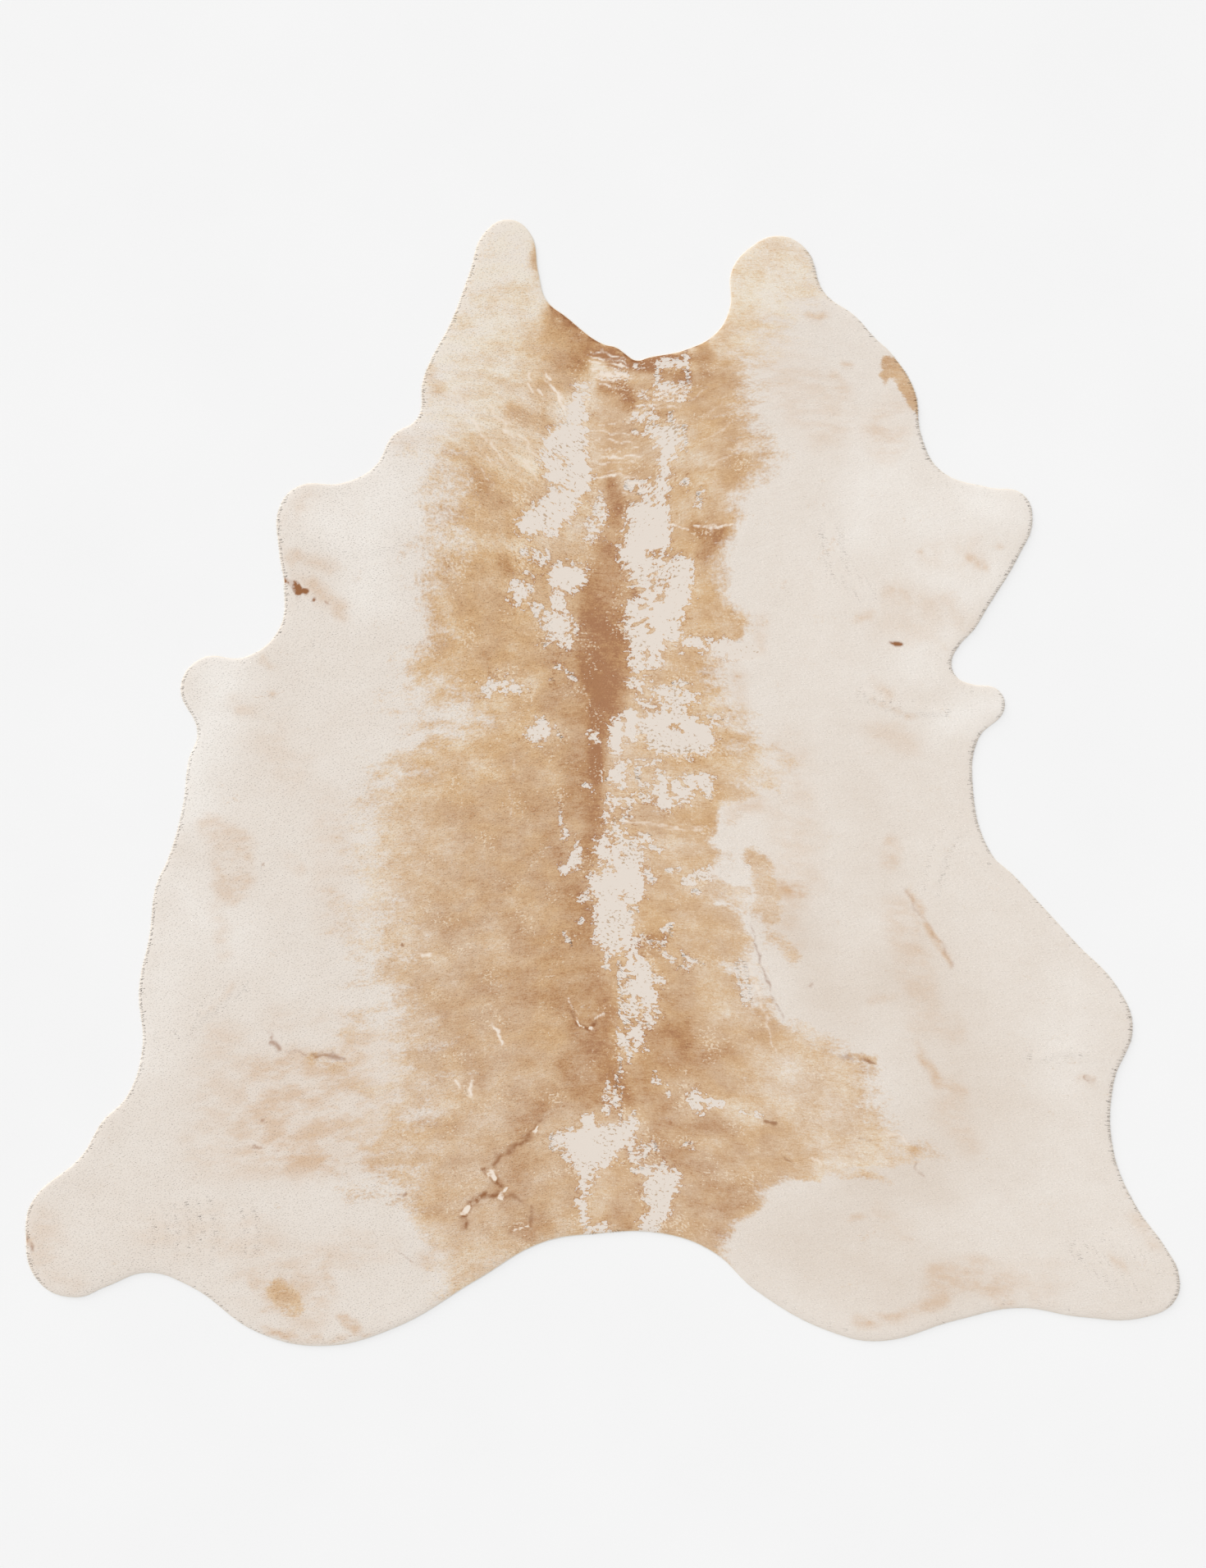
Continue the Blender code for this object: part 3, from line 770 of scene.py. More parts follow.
# Washes and stains of tan on the pale sides
SIDE_STAINS = strokes(
    # Neck lobes
    (0.16, 70, (-270, 880, 40), (-250, 980, 24)),
    (0.36, 14, (-325, 785, 8), (-330, 752, 10), (-312, 745, 9)),
    (0.22, 30, (-385, 655, 14), (-330, 650, 16)),
    (0.20, 60, (330, 1000, 30), (330, 950, 40)),
    (0.34, 28, (262, 952, 12), (270, 925, 14)),
    (0.28, 24, (310, 930, 8), (390, 925, 10)),
    (0.42, 14, (385, 885, 7), (414, 893, 7)),
    (0.40, 10, (402, 957, 4), (408, 938, 4)),
    (0.22, 24, (256, 880, 14), (260, 840, 12)),
    (0.08, 50, (330, 870, 30), (300, 810, 30)),
    (0.34, 8, (312, 1026, 3), (330, 1027, 3)),
    # Right shoulder
    (0.42, 10, (458, 793, 4), (472, 783, 4)),
    (0.30, 12, (388, 772, 5), (418, 770, 6)),
    (0.30, 20, (438, 768, 8), (458, 733, 13)),
    (0.14, 80, (360, 760, 60), (430, 680, 50)),
    (0.14, 60, (560, 700, 30), (540, 660, 30)),
    (0.14, 70, (350, 60, 40), (370, -200, 40)),
    (0.42, 8, (520, 690, 4), (524, 672, 5)),
    (0.22, 40, (520, 680, 22), (540, 630, 20)),
    (0.12, 50, (620, 440, 24), (690, 430, 30)),
    (0.32, 14, (688, 426, 8), (722, 405, 8)),
    (0.40, 4, (598, 437, 3), (606, 431, 3)),
    (0.30, 5, (745, 450, 3), (758, 445, 3)),
    (0.14, 44, (555, 352, 24), (640, 330, 28), (690, 300, 18)),
    (0.30, 20, (542, 354, 12), (578, 346, 12)),
    (0.30, 14, (486, 314, 5), (510, 318, 6)),
    (0.10, 60, (560, 290, 40), (640, 270, 30)),
    (0.20, 18, (503, 192, 7), (540, 165, 9)),
    (0.30, 8, (508, 150, 3), (540, 137, 4), (588, 126, 3)),
    (0.14, 44, (530, 90, 30), (590, 70, 20)),
    # Left shoulder and elbow
    (0.14, 44, (-560, 540, 22), (-590, 500, 18)),
    (0.24, 24, (-590, 425, 12), (-520, 415, 15)),
    (0.28, 22, (-575, 385, 13), (-525, 352, 18), (-490, 322, 13)),
    (0.18, 10, (-645, 240, 5), (-625, 215, 5)),
    (0.34, 3, (-660, 158, 2), (-600, 168, 2)),
    (0.18, 20, (-700, 150, 11), (-660, 128, 12)),
    (0.10, 70, (-640, 100, 40), (-600, 20, 40)),
    # Left flank
    (0.20, 26, (-750, -80, 20), (-705, -110, 32), (-700, -190, 34)),
    (0.24, 40, (-690, -120, 26), (-700, -180, 26)),
    (0.28, 18, (-738, -130, 10), (-716, -175, 11)),
    (0.26, 22, (-672, -120, 14), (-660, -170, 14), (-690, -215, 12)),
    (0.16, 28, (-730, -240, 14), (-715, -320, 12)),
    (0.26, 7, (-578, -148, 3), (-572, -168, 3)),
    (0.10, 22, (-590, -150, 14), (-585, -165, 14)),
    (0.12, 60, (-520, -60, 40), (-500, -260, 40)),
    (0.18, 8, (-758, -440, 3), (-720, -405, 4), (-686, -372, 4)),
    # Right flank
    (0.62, 40, (310, -195, 16), (370, -212, 12)),
    (0.20, 50, (345, -255, 16), (352, -300, 20)),
    (0.24, 16, (545, -122, 16), (538, -152, 16)),
    (0.26, 34, (250, -50, 14), (300, -44, 14)),
    (0.22, 30, (252, 205, 14), (262, 160, 12)),
    (0.20, 30, (300, 300, 12), (304, 255, 12)),
    (0.16, 44, (552, -240, 30), (590, -340, 36), (604, -430, 26)),
    (0.36, 10, (570, -194, 4), (598, -240, 7), (620, -276, 7), (640, -305, 6), (658, -350, 3)),
    (0.42, 5, (600, -225, 3), (612, -242, 4)),
    (0.42, 5, (628, -283, 3), (642, -305, 3)),
    (0.20, 18, (545, -235, 9), (562, -290, 11)),
    (0.24, 12, (592, -255, 5), (596, -330, 7)),
    (0.16, 36, (585, -330, 20), (610, -410, 22)),
    (0.22, 14, (505, -412, 7), (550, -408, 7)),
    (0.14, 30, (600, -450, 22), (660, -470, 22)),
    (0.38, 14, (596, -494, 5), (620, -540, 9), (640, -566, 8)),
    (0.30, 15, (655, -560, 9), (682, -592, 11)),
    (0.14, 40, (660, -620, 30), (690, -680, 20)),
    # Left hind leg
    (0.33, 110, (-620, -640, 100), (-450, -615, 100)),
    (0.34, 60, (-650, -535, 26), (-450, -535, 26)),
    (0.44, 60, (-580, -712, 24), (-420, -705, 30)),
    (0.12, 60, (-620, -450, 20), (-480, -445, 20)),
    (0.40, 50, (-470, -500, 16), (-400, -500, 20)),
    (0.18, 28, (-735, -480, 22), (-715, -515, 15)),
    (0.16, 100, (-720, -500, 40), (-740, -700, 40)),
    (0.12, 60, (-700, -850, 40), (-640, -880, 40)),
    (0.10, 60, (-850, -850, 40), (-700, -850, 40)),
    (0.44, 12, (-1086, -850, 6), (-1078, -882, 8)),
    (0.16, 60, (-1060, -840, 30), (-1050, -900, 30), (-1000, -940, 14)),
    (0.14, 40, (-560, -900, 30), (-420, -880, 30)),
    (0.26, 10, (-522, -905, 11), (-520, -955, 12)),
    (0.24, 60, (-640, -940, 50), (-560, -980, 50)),
    (0.02, 12, (-684, -962, 18), (-650, -985, 14)),
    (0.36, 9, (-484, -1008, 10), (-462, -1035, 10)),
    (0.42, 5, (-640, -1040, 5), (-560, -1052, 6), (-500, -1056, 5), (-440, -1043, 4)),
    (0.50, 3, (-650, -1003, 2), (-600, -1004, 2)),
    (0.30, 30, (-340, -900, 16), (-300, -880, 16)),
    # Right hind leg
    (0.30, 9, (462, -825, 5), (492, -820, 5)),
    (0.12, 40, (520, -810, 20), (560, -850, 20)),
    (0.12, 60, (760, -940, 40), (830, -950, 40)),
    (0.26, 30, (640, -935, 34), (700, -930, 34), (752, -962, 28)),
    (0.28, 18, (640, -975, 14), (560, -1010, 13), (490, -1016, 11)),
    (0.50, 4, (508, -1016, 3), (516, -1018, 3)),
    (0.28, 12, (905, -560, 5), (926, -566, 6)),
    (0.18, 10, (950, -893, 5), (988, -918, 6)),
    (0.16, 28, (1010, -830, 14), (1042, -872, 12)),
)

# Soft ridges of the skin, with their height in millimetres
FOLDS = strokes(
    (1.0, 22, (500, 168, 5), (560, 140, 6), (640, 134, 5)),
    (0.8, 26, (428, 480, 6), (446, 400, 7), (500, 356, 6)),
    (0.8, 20, (600, 588, 5), (650, 566, 6), (705, 556, 5)),
    (0.8, 24, (818, -520, 6), (880, -505, 7), (960, -530, 6)),
    (0.9, 24, (900, -880, 6), (970, -940, 7), (1020, -985, 5)),
    (0.7, 22, (960, -860, 5), (1040, -925, 6)),
    (0.9, 24, (-790, -470, 6), (-740, -420, 7), (-690, -388, 5)),
    (0.6, 14, (-842, -800, 3), (-834, -850, 4), (-842, -895, 3)),
    (0.6, 14, (-800, -795, 3), (-790, -850, 4), (-796, -900, 3)),
    (0.6, 14, (-756, -790, 3), (-745, -845, 4), (-750, -900, 3)),
    (0.6, 14, (-672, -800, 3), (-662, -850, 4), (-668, -895, 3)),
    (0.8, 24, (-560, 470, 6), (-470, 440, 7), (-400, 450, 5)),
    (0.7, 22, (-700, 210, 5), (-640, 226, 6), (-560, 262, 5)),
    (0.7, 26, (700, -60, 6), (640, -120, 7), (620, -200, 6)),
)

WORN_STROKES = WORN_NECK + WORN_LEFT + WORN_RIGHT + WORN_MIDDLE + WORN_RUMP

# From where to where the pieces lie on their UV map: all of it, or a strip for each side
WHOLE_MAP = (0.01, 0.99)
HAIR_STRIP = (0.01, 0.80)
FLESH_STRIP = (0.82, 0.99)

# The sockets of a Mix node that blends colours, whose other sockets have the same names
FACTOR, UNDER, OVER, BLENDED = 0, 6, 7, 2


def linear(colour: str) -> tuple[float, float, float, float]:
    """Turns an sRGB hex colour to the linear values that the renderer works in.

    Args:
        colour: six hex digits after a hash sign.

    Returns:
        Linear red, green and blue, and full opacity.
    """
    shares = (int(colour[at : at + 2], 16) / 255 for at in (1, 3, 5))
    red, green, blue = (s / 12.92 if s <= 0.04045 else ((s + 0.055) / 1.055) ** 2.4 for s in shares)
    return red, green, blue, 1.0


def add_node(
    tree: bpy.types.NodeTree, kind: str, inputs: dict[Any, Any] | None = None, **settings: Any
) -> Any:
    """Adds a node to a material, with its settings, values and links.

    Args:
        tree: the material's node tree.
        kind: the node's type, such as ShaderNodeTexNoise.
        inputs: for each socket, by name or number, the socket that feeds it or its value.
        settings: the node's own properties.

    Returns:
        The new node.
    """
    node = tree.nodes.new(kind)
    for name, value in settings.items():
        setattr(node, name, value)
    for socket, value in (inputs or {}).items():
        if isinstance(value, bpy.types.NodeSocket):
            tree.links.new(value, node.inputs[socket])
        else:
            node.inputs[socket].default_value = value
    return node


def smooth_step(share: np.ndarray) -> np.ndarray:
    """Eases a share, held between 0 and 1, in and out."""
    held = np.clip(share, 0.0, 1.0)
    return held * held * (3 - 2 * held)


def read_grid(grid: np.ndarray, low: np.ndarray, high: np.ndarray, part: np.ndarray) -> np.ndarray:
    """Reads a grid of values between its points.

    Args:
        grid: the values, across and along.
        low: the numbers of the grid point before each place.
        high: the numbers of the grid point after it.
        part: how far each place lies from the one to the other, from 0 to 1.

    Returns:
        The value at each place.
    """
    (left, down), (right, up), (across, along) = low.T, high.T, part.T
    below = grid[left, down] * (1 - across) + grid[right, down] * across
    above = grid[left, up] * (1 - across) + grid[right, up] * across
    return below * (1 - along) + above * along


def lumps(places: np.ndarray, size: float, seed: int) -> np.ndarray:
    """Gives soft, random lumps.

    Args:
        places: points, a row each of across and along.
        size: the width of a lump, in the points' own unit.
        seed: which of the many such patterns it is.

    Returns:
        A height from -1 to 1 for each point.
    """
    cells = 512
    grid = np.random.default_rng(seed).uniform(-1, 1, (cells, cells))
    at = places / size + cells / 2
    low = np.floor(at).astype(int)
    return read_grid(grid, low % cells, (low + 1) % cells, smooth_step(at - low))


class Wobble(NamedTuple):
    """Bends that a drawn edge takes on, because the edge of a real marking is never smooth."""

    size: float  # millimetres from one bend to the next
    by: float  # millimetres that they move the edge
    seeds: tuple[int, int]  # which pattern of lumps moves it across, and which along


@dataclass(frozen=True)
class CoatPattern:
    """The coat's markings, painted on any points of the hide."""

    reach: float = 40.0  # millimetres past a worn patch's edge where it still counts
    worn_limit: float = 6.0  # the worn layer goes this far each way, in widths of its edge
    speckle_gain: float = 4.0  # what a whole share of worn hair adds to the layer
    cover_limit: float = 2.0  # the cover layer goes this far each way
    band_blur: float = 9.0  # millimetres up and down over which the bands are evened
    back_blur: float = 80.0  # millimetres across the spine where the sides' shades meet
    plain_pale: float = 0.5
    plain_warmth: float = 0.45
    wavers: tuple[Wobble, ...] = (
        Wobble(80, 5, (10, 20)),
        Wobble(34, 6, (11, 21)),
        Wobble(14, 4, (12, 22)),
    )
    jags: tuple[Wobble, ...] = (Wobble(17, 5, (30, 31)), Wobble(7, 2, (32, 33)))
    # The back stripe is drawn as it is: the tan wavers less towards it, from this far out
    steady_width: float = 144.0
    steady_fade: float = 90.0
    steadiness: float = 0.6

    @staticmethod
    def depth(
        places: np.ndarray, stroke: Stroke, margin: float
    ) -> tuple[np.ndarray, np.ndarray]:
        """Measures how deep points lie inside a stroke.

        Args:
            places: points in millimetres, a row each.
            stroke: the stroke to measure in.
            margin: how far outside it points still count, in millimetres.

        Returns:
            The numbers of the points near the stroke, and their depth, below 0 outside it.
        """
        spots = np.array(stroke.spots, float)
        most = spots[:, 2].max() + margin
        low, high = spots[:, :2].min(0) - most, spots[:, :2].max(0) + most
        near = np.flatnonzero(((places > low) & (places < high)).all(1))
        deepest = np.full(len(near), -np.inf)
        for start, end in zip(spots[:-1], spots[1:]):
            run = end[:2] - start[:2]
            share = np.clip((places[near] - start[:2]) @ run / (run @ run), 0.0, 1.0)
            middle = start[:2] + share[:, None] * run
            width = start[2] + share * (end[2] - start[2])
            deepest = np.maximum(deepest, width - np.linalg.norm(places[near] - middle, axis=1))
        return near, deepest

    def blend(self, value: np.ndarray, places: np.ndarray, table: tuple[Stroke, ...]) -> None:
        """Paints soft strokes over a layer, one after another.

        Args:
            value: the layer's value at each point, which the strokes change.
            places: the points in millimetres, a row each.
            table: the strokes.
        """
        for stroke in table:
            near, depth = self.depth(places, stroke, stroke.fade)
            cover = smooth_step(depth / stroke.fade + 0.5)
            value[near] += (stroke.shade - value[near]) * cover

    @staticmethod
    def moved(places: np.ndarray, wobbles: tuple[Wobble, ...]) -> np.ndarray:
        """Moves points a little, so that what is painted there has uneven edges.

        Args:
            places: points in millimetres, a row each.
            wobbles: the bends, whose moves are added up.

        Returns:
            The moved points.
        """
        shifted = places.copy()
        for wobble in wobbles:
            for axis, seed in enumerate(wobble.seeds):
                shifted[:, axis] += wobble.by * lumps(places, wobble.size, seed)
        return shifted

    def worn(self, places: np.ndarray) -> np.ndarray:
        """Finds the worn patches.

        A stroke that wears off all of the hair adds a patch, one that wears off none of it
        takes it away, and one between them leaves a speckle with that share worn off.

        Args:
            places: points in millimetres, a row each.

        Returns:
            How far inside a worn patch each point lies, in widths of its ragged edge.
        """
        value = np.full(len(places), -self.worn_limit)
        for stroke in WORN_STROKES:
            near, depth = self.depth(places, stroke, self.reach)
            inside = depth / stroke.fade
            if stroke.shade == 1:
                value[near] = np.maximum(value[near], inside)
            elif stroke.shade == 0:
                value[near] = np.minimum(value[near], -inside)
            else:
                speckle = (stroke.shade - 0.5) * self.speckle_gain
                value[near] += (speckle - value[near]) * smooth_step(inside + 0.5)
        return np.clip(value, -self.worn_limit, self.worn_limit)

    def tan(self, places: np.ndarray) -> tuple[np.ndarray, np.ndarray]:
        """Paints the tan hair.

        Args:
            places: points in millimetres, a row each.

        Returns:
            How dark the tan hair is at each point, and how far inside the tan's edge it lies.
        """
        rows = np.array(TAN_BANDS[::-1], float)
        across, along = places.T
        steps = (-self.band_blur, self.band_blur)
        left, left_fade, left_shade, right, right_fade, right_shade = (
            sum(np.interp(along + step, rows[:, 0], column) for step in steps) / 2
            for column in rows[:, 1:].T
        )
        side = smooth_step(across / self.back_blur + 0.5)
        shade = left_shade * (1 - side) + right_shade * side
        cover = np.minimum((across - left) / left_fade, (right - across) / right_fade)
        cover = np.clip(cover, -self.cover_limit, self.cover_limit)
        self.blend(cover, places, COVER_STROKES)
        self.blend(shade, places, TAN_STROKES)
        return shade, cover

    def paint(self, points: np.ndarray) -> dict[str, np.ndarray]:
        """Paints every layer.

        Args:
            points: places on the hide in metres, a row each of across and along.

        Returns:
            Each layer's value at each point, under the layer's name.
        """
        places = points / MM
        wavering = self.moved(places, self.wavers)
        steady = smooth_step((self.steady_width - np.abs(places[:, 0])) / self.steady_fade)[:, None]
        shade, cover = self.tan(wavering + (places - wavering) * self.steadiness * steady)
        layers = {Layer.TAN: shade, Layer.COVER: cover, Layer.WORN: self.worn(places)}
        for layer, plain, at, table in (
            (Layer.STAIN, 0.0, wavering, SIDE_STAINS),
            (Layer.PALE, self.plain_pale, wavering, PALE_STROKES),
            (Layer.WARMTH, self.plain_warmth, wavering, WARMTH_STROKES),
            (Layer.MARK, 0.0, self.moved(places, self.jags), MARK_STROKES),
        ):
            layers[layer] = np.full(len(places), plain)
            self.blend(layers[layer], at, table)
        return {layer.value: layers[layer] for layer in Layer}

    def needs_detail(self, points: np.ndarray, within: float, widest: float) -> np.ndarray:
        """Tells which points lie near the edge of a stroke with narrow spots.

        Args:
            points: places on the hide in metres.
            within: how near the edge, in millimetres.
            widest: the widest spot of the strokes that count, in millimetres.

        Returns:
            True for each such point.
        """
        places = points / MM
        needed = np.zeros(len(places), bool)
        for stroke in WORN_STROKES + MARK_STROKES:
            if max(width for _, _, width in stroke.spots) <= widest:
                near, depth = self.depth(places, stroke, within)
                needed[near[np.abs(depth) < within]] = True
        return needed


@dataclass(frozen=True)
class HairFlow:
    """The way the hair lies: out from the back and a little down, and up and out on the neck."""

    body_slope: float = -0.12
    neck_slope: float = 0.6
    # Where the hair turns up and where it turns level again, in metres from the middle
    neck_start: tuple[float, float] = (0.15, 0.62)
    neck_end: tuple[float, float] = (0.62, 0.95)
    back_width: float = 0.04  # where the hair of both sides meets
    neck_width: float = 0.18  # past it the hair of the neck runs straight out
    spine_fall: float = 0.9  # how much the hair of the spine points to the tail

    def across_hair(self, points: np.ndarray) -> np.ndarray:
        """Measures across the hair, which is level along each line of its flow.

        Args:
            points: places on the hide in metres, a row each.

        Returns:
            Each point's place across its hair, in metres.
        """
        across, along = points.T
        out = np.sqrt(across**2 + self.back_width**2) - self.back_width
        turned_up, turned_back = (
            smooth_step((along - start) / (end - start))
            for start, end in (self.neck_start, self.neck_end)
        )
        neck = turned_up - turned_back
        steep = self.neck_slope * neck * self.neck_width * np.tanh(out / self.neck_width)
        return along - self.body_slope * out * (1 - neck) - steep

    def coordinates(self, points: np.ndarray) -> np.ndarray:
        """Gives each point's place along its hair and across it, in metres, and a spare 0."""
        return np.stack([points[:, 0], self.across_hair(points), np.zeros(len(points))], 1)

    def direction(self, points: np.ndarray) -> np.ndarray:
        """Gives the way that the hair points, away from its roots.

        Args:
            points: places on the hide in metres, a row each.

        Returns:
            A unit vector for each point.
        """
        step = 0.001
        here = self.across_hair(points)
        rise_across = (self.across_hair(points + (step, 0)) - here) / step
        rise_along = (self.across_hair(points + (0, step)) - here) / step
        side = np.tanh(points[:, 0] / self.back_width)
        heading = np.stack([rise_along * side, -rise_across * side], 1)
        heading[:, 1] -= self.spine_fall * (1 - side**2)
        return heading / np.linalg.norm(heading, axis=1)[:, None]


@dataclass(frozen=True)
class Outline:
    """The rug's cut edge, as an evenly spaced ring that runs anticlockwise."""

    spacing: float = 0.005
    merging: float = 1e-6  # corners of the CAD hide that lie this close are one
    steepest: float = 0.1  # the most that a wall's normal points up or down

    def corners(self) -> np.ndarray:
        """Reads the widest ring of the CAD hide.

        Returns:
            Its corners in order, a row each of across and along.
        """
        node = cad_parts["hide"]
        low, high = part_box("hide")
        middle = (low.z + high.z) / 2
        solid = bmesh.new()
        solid.from_mesh(node.data)
        bmesh.ops.remove_doubles(solid, verts=solid.verts, dist=self.merging)
        walls = [face for face in solid.faces if abs(face.normal.z) < self.steepest]
        ring = {corner for face in walls for corner in face.verts if corner.co.z > middle}
        at = min(ring, key=lambda corner: corner.index)
        loop = []
        while at is not None:
            loop.append(at.co.xy.copy())
            ring.discard(at)
            ahead = [edge.other_vert(at) for edge in at.link_edges]
            at = next((corner for corner in ahead if corner in ring), None)
        solid.free()
        return np.array(loop)

    def ring(self) -> np.ndarray:
        """Gives the cut edge in even steps, smoothed a little.

        Returns:
            Its points, anticlockwise, a row each of across and along.
        """
        places = self.corners()
        after = np.roll(places, -1, 0)
        if (places[:, 0] * after[:, 1] - after[:, 0] * places[:, 1]).sum() < 0:
            places = places[::-1]
        closed = np.vstack([places, places[:1]])
        run = np.r_[0, np.linalg.norm(np.diff(closed, axis=0), axis=1).cumsum()]
        steps = np.linspace(0, run[-1], round(run[-1] / self.spacing), endpoint=False)
        even = np.stack([np.interp(steps, run, closed[:, axis]) for axis in (0, 1)], 1)
        return (np.roll(even, 1, 0) + 2 * even + np.roll(even, -1, 0)) / 4

    @staticmethod
    def outward(ring: np.ndarray) -> np.ndarray:
        """Finds the way out of the rug, square to its edge.

        Args:
            ring: the points of the edge, anticlockwise.

        Returns:
            A unit vector for each of them.
        """
        run = np.roll(ring, -1, 0) - np.roll(ring, 1, 0)
        side = np.stack([run[:, 1], -run[:, 0]], 1)
        return side / np.linalg.norm(side, axis=1)[:, None]

    @staticmethod
    def lattice(ring: np.ndarray, spacing: float) -> np.ndarray:
        """Fills a ring with staggered points; half the spacing gives the same points and more.

        Args:
            ring: the closed outline, a row for each point.
            spacing: the distance from a point to the next, in metres.

        Returns:
            The points, row by row, from the tail to the neck.
        """
        step = spacing * math.sqrt(3) / 2
        aside = 1e-7  # keeps the cut off the ring's own points
        after = np.roll(ring, -1, 0)
        first = math.ceil(ring[:, 1].min() / step)
        last = math.floor(ring[:, 1].max() / step)
        rows = []
        for row in range(first, last + 1):
            along = row * step + aside
            crossed = (ring[:, 1] < along) != (after[:, 1] < along)
            start, end = ring[crossed], after[crossed]
            share = (along - start[:, 1]) / (end[:, 1] - start[:, 1])
            cuts = np.sort(start[:, 0] + share * (end[:, 0] - start[:, 0]))
            shift = spacing / 2 * (row % 2)
            for left, right in zip(cuts[::2], cuts[1::2]):
                numbers = np.arange(math.ceil((left - shift) / spacing), (right - shift) / spacing)
                rows.append(np.stack([numbers * spacing + shift, np.full(len(numbers), row * step)], 1))
        return np.vstack(rows)

    @staticmethod
    def gaps(ring: np.ndarray, places: np.ndarray) -> np.ndarray:
        """Measures the distance to the cut edge.

        Args:
            ring: the points of the edge.
            places: where to measure, a row each of across and along.

        Returns:
            How far each place is from the nearest point of the edge, in metres.
        """
        tree = KDTree(len(ring))
        for number, place in enumerate(ring):
            tree.insert((*place, 0.0), number)
        tree.balance()
        return np.array([tree.find((*place, 0.0))[2] for place in places])


@dataclass
class Relief:
    """How the skin lies: gentle waves, folds, a lifted rim, and lower where its hair is gone."""

    outline: Outline
    pattern: CoatPattern
    skin_top: float = 3.1 * MM
    worn_drop: float = 0.3 * MM
    # Size and height of each set of waves
    waves: tuple[tuple[float, float], ...] = ((0.24, 0.9 * MM), (0.11, 0.4 * MM))
    wave_floor: float = 0.6  # how much of a wave's height stands above the floor
    rim_reach: float = 0.05  # how far in from the edge the skin lies nearly flat
    rim_flatness: float = 0.95
    rim_lift: float = 0.25 * MM
    rim_wave: float = 0.26  # distance from one lifted stretch of the rim to the next
    rim_share: float = 0.6
    wave_seed: int = 40
    rim_seed: int = 50
    cell: float = 0.012  # spacing of the grid that keeps the distance to the edge
    # That grid, and the place of its first point
    gaps: np.ndarray = field(init=False)
    corner: np.ndarray = field(init=False)

    def __post_init__(self) -> None:
        """Measures the distance to the cut edge on a grid."""
        ring = self.outline.ring()
        self.corner = ring.min(0) - 2 * self.cell
        cells = np.ceil((ring.max(0) - self.corner) / self.cell).astype(int) + 3
        numbers = np.indices(cells).reshape(2, -1).T
        self.gaps = self.outline.gaps(ring, self.corner + numbers * self.cell).reshape(tuple(cells))

    def from_edge(self, points: np.ndarray) -> np.ndarray:
        """Reads the distance from the cut edge.

        Args:
            points: places on the hide in metres, a row each.

        Returns:
            The distance of each, in metres.
        """
        at = (points - self.corner) / self.cell
        low = np.clip(np.floor(at).astype(int), 0, np.array(self.gaps.shape) - 2)
        return read_grid(self.gaps, low, low + 1, np.clip(at - low, 0.0, 1.0))

    def lift(self, points: np.ndarray) -> np.ndarray:
        """Gives how far the skin stands off the floor.

        Args:
            points: places on the hide in metres, a row each.

        Returns:
            The height of each, in metres.
        """
        folds = np.zeros(len(points))
        self.pattern.blend(folds, points / MM, FOLDS)
        height = folds * MM
        for number, (size, wave) in enumerate(self.waves):
            height += wave * (lumps(points, size, self.wave_seed + number) + self.wave_floor)
        uneven = self.rim_share + self.rim_share * lumps(points, self.rim_wave, self.rim_seed)
        near = np.exp(-((self.from_edge(points) / self.rim_reach) ** 2))
        rim = self.rim_lift * near * np.clip(uneven, 0.0, None)
        return np.clip(height, 0.0, None) * (1 - self.rim_flatness * near) + rim

    def top(self, points: np.ndarray, worn: np.ndarray) -> np.ndarray:
        """Gives the height of the hair side's skin, which is lower where the hair is worn off."""
        return self.lift(points) + self.skin_top - self.worn_drop * smooth_step(worn / 2 + 0.5)


def dress(
    mesh: bpy.types.Mesh, layers: dict[str, np.ndarray], flow: np.ndarray, lock: np.ndarray
) -> None:
    """Keeps the painted layers on a mesh, for its finishes.

    Args:
        mesh: the mesh to paint.
        layers: each layer's value at each corner.
        flow: each corner's place along and across the hair.
        lock: a random share for each corner, the same all over a lock of hair.
    """
    for name, values in (layers | {"lock": lock}).items():
        kept = mesh.attributes.new(name, "FLOAT", "POINT")
        kept.data.foreach_set("value", values.astype(np.float32))
    flowing = mesh.attributes.new("flow", "FLOAT_VECTOR", "POINT")
    flowing.data.foreach_set("vector", flow.astype(np.float32).ravel())


def lay_out(mesh: bpy.types.Mesh, spread: np.ndarray, below: np.ndarray | None = None) -> None:
    """Gives a mesh a UV map named OFBake, which its finishes don't read.

    Args:
        mesh: the mesh.
        spread: each point's place when the piece is spread flat.
        below: for a piece with two sides, whether each corner of a face is on its flesh side.
    """
    corners = np.empty(len(mesh.loops), np.int32)
    mesh.loops.foreach_get("vertex_index", corners)
    shares = (spread - spread.min(0)) / np.ptp(spread, axis=0)
    across, along = shares[corners].T
    if below is None:
        across = np.interp(across, (0, 1), WHOLE_MAP)
    else:
        on_flesh = np.interp(across, (0, 1), FLESH_STRIP)
        across = np.where(below, on_flesh, np.interp(across, (0, 1), HAIR_STRIP))
    places = np.stack([across, np.interp(along, (0, 1), WHOLE_MAP)], 1)
    mesh.uv_layers.new(name="OFBake").data.foreach_set("uv", places.astype(np.float32).ravel())


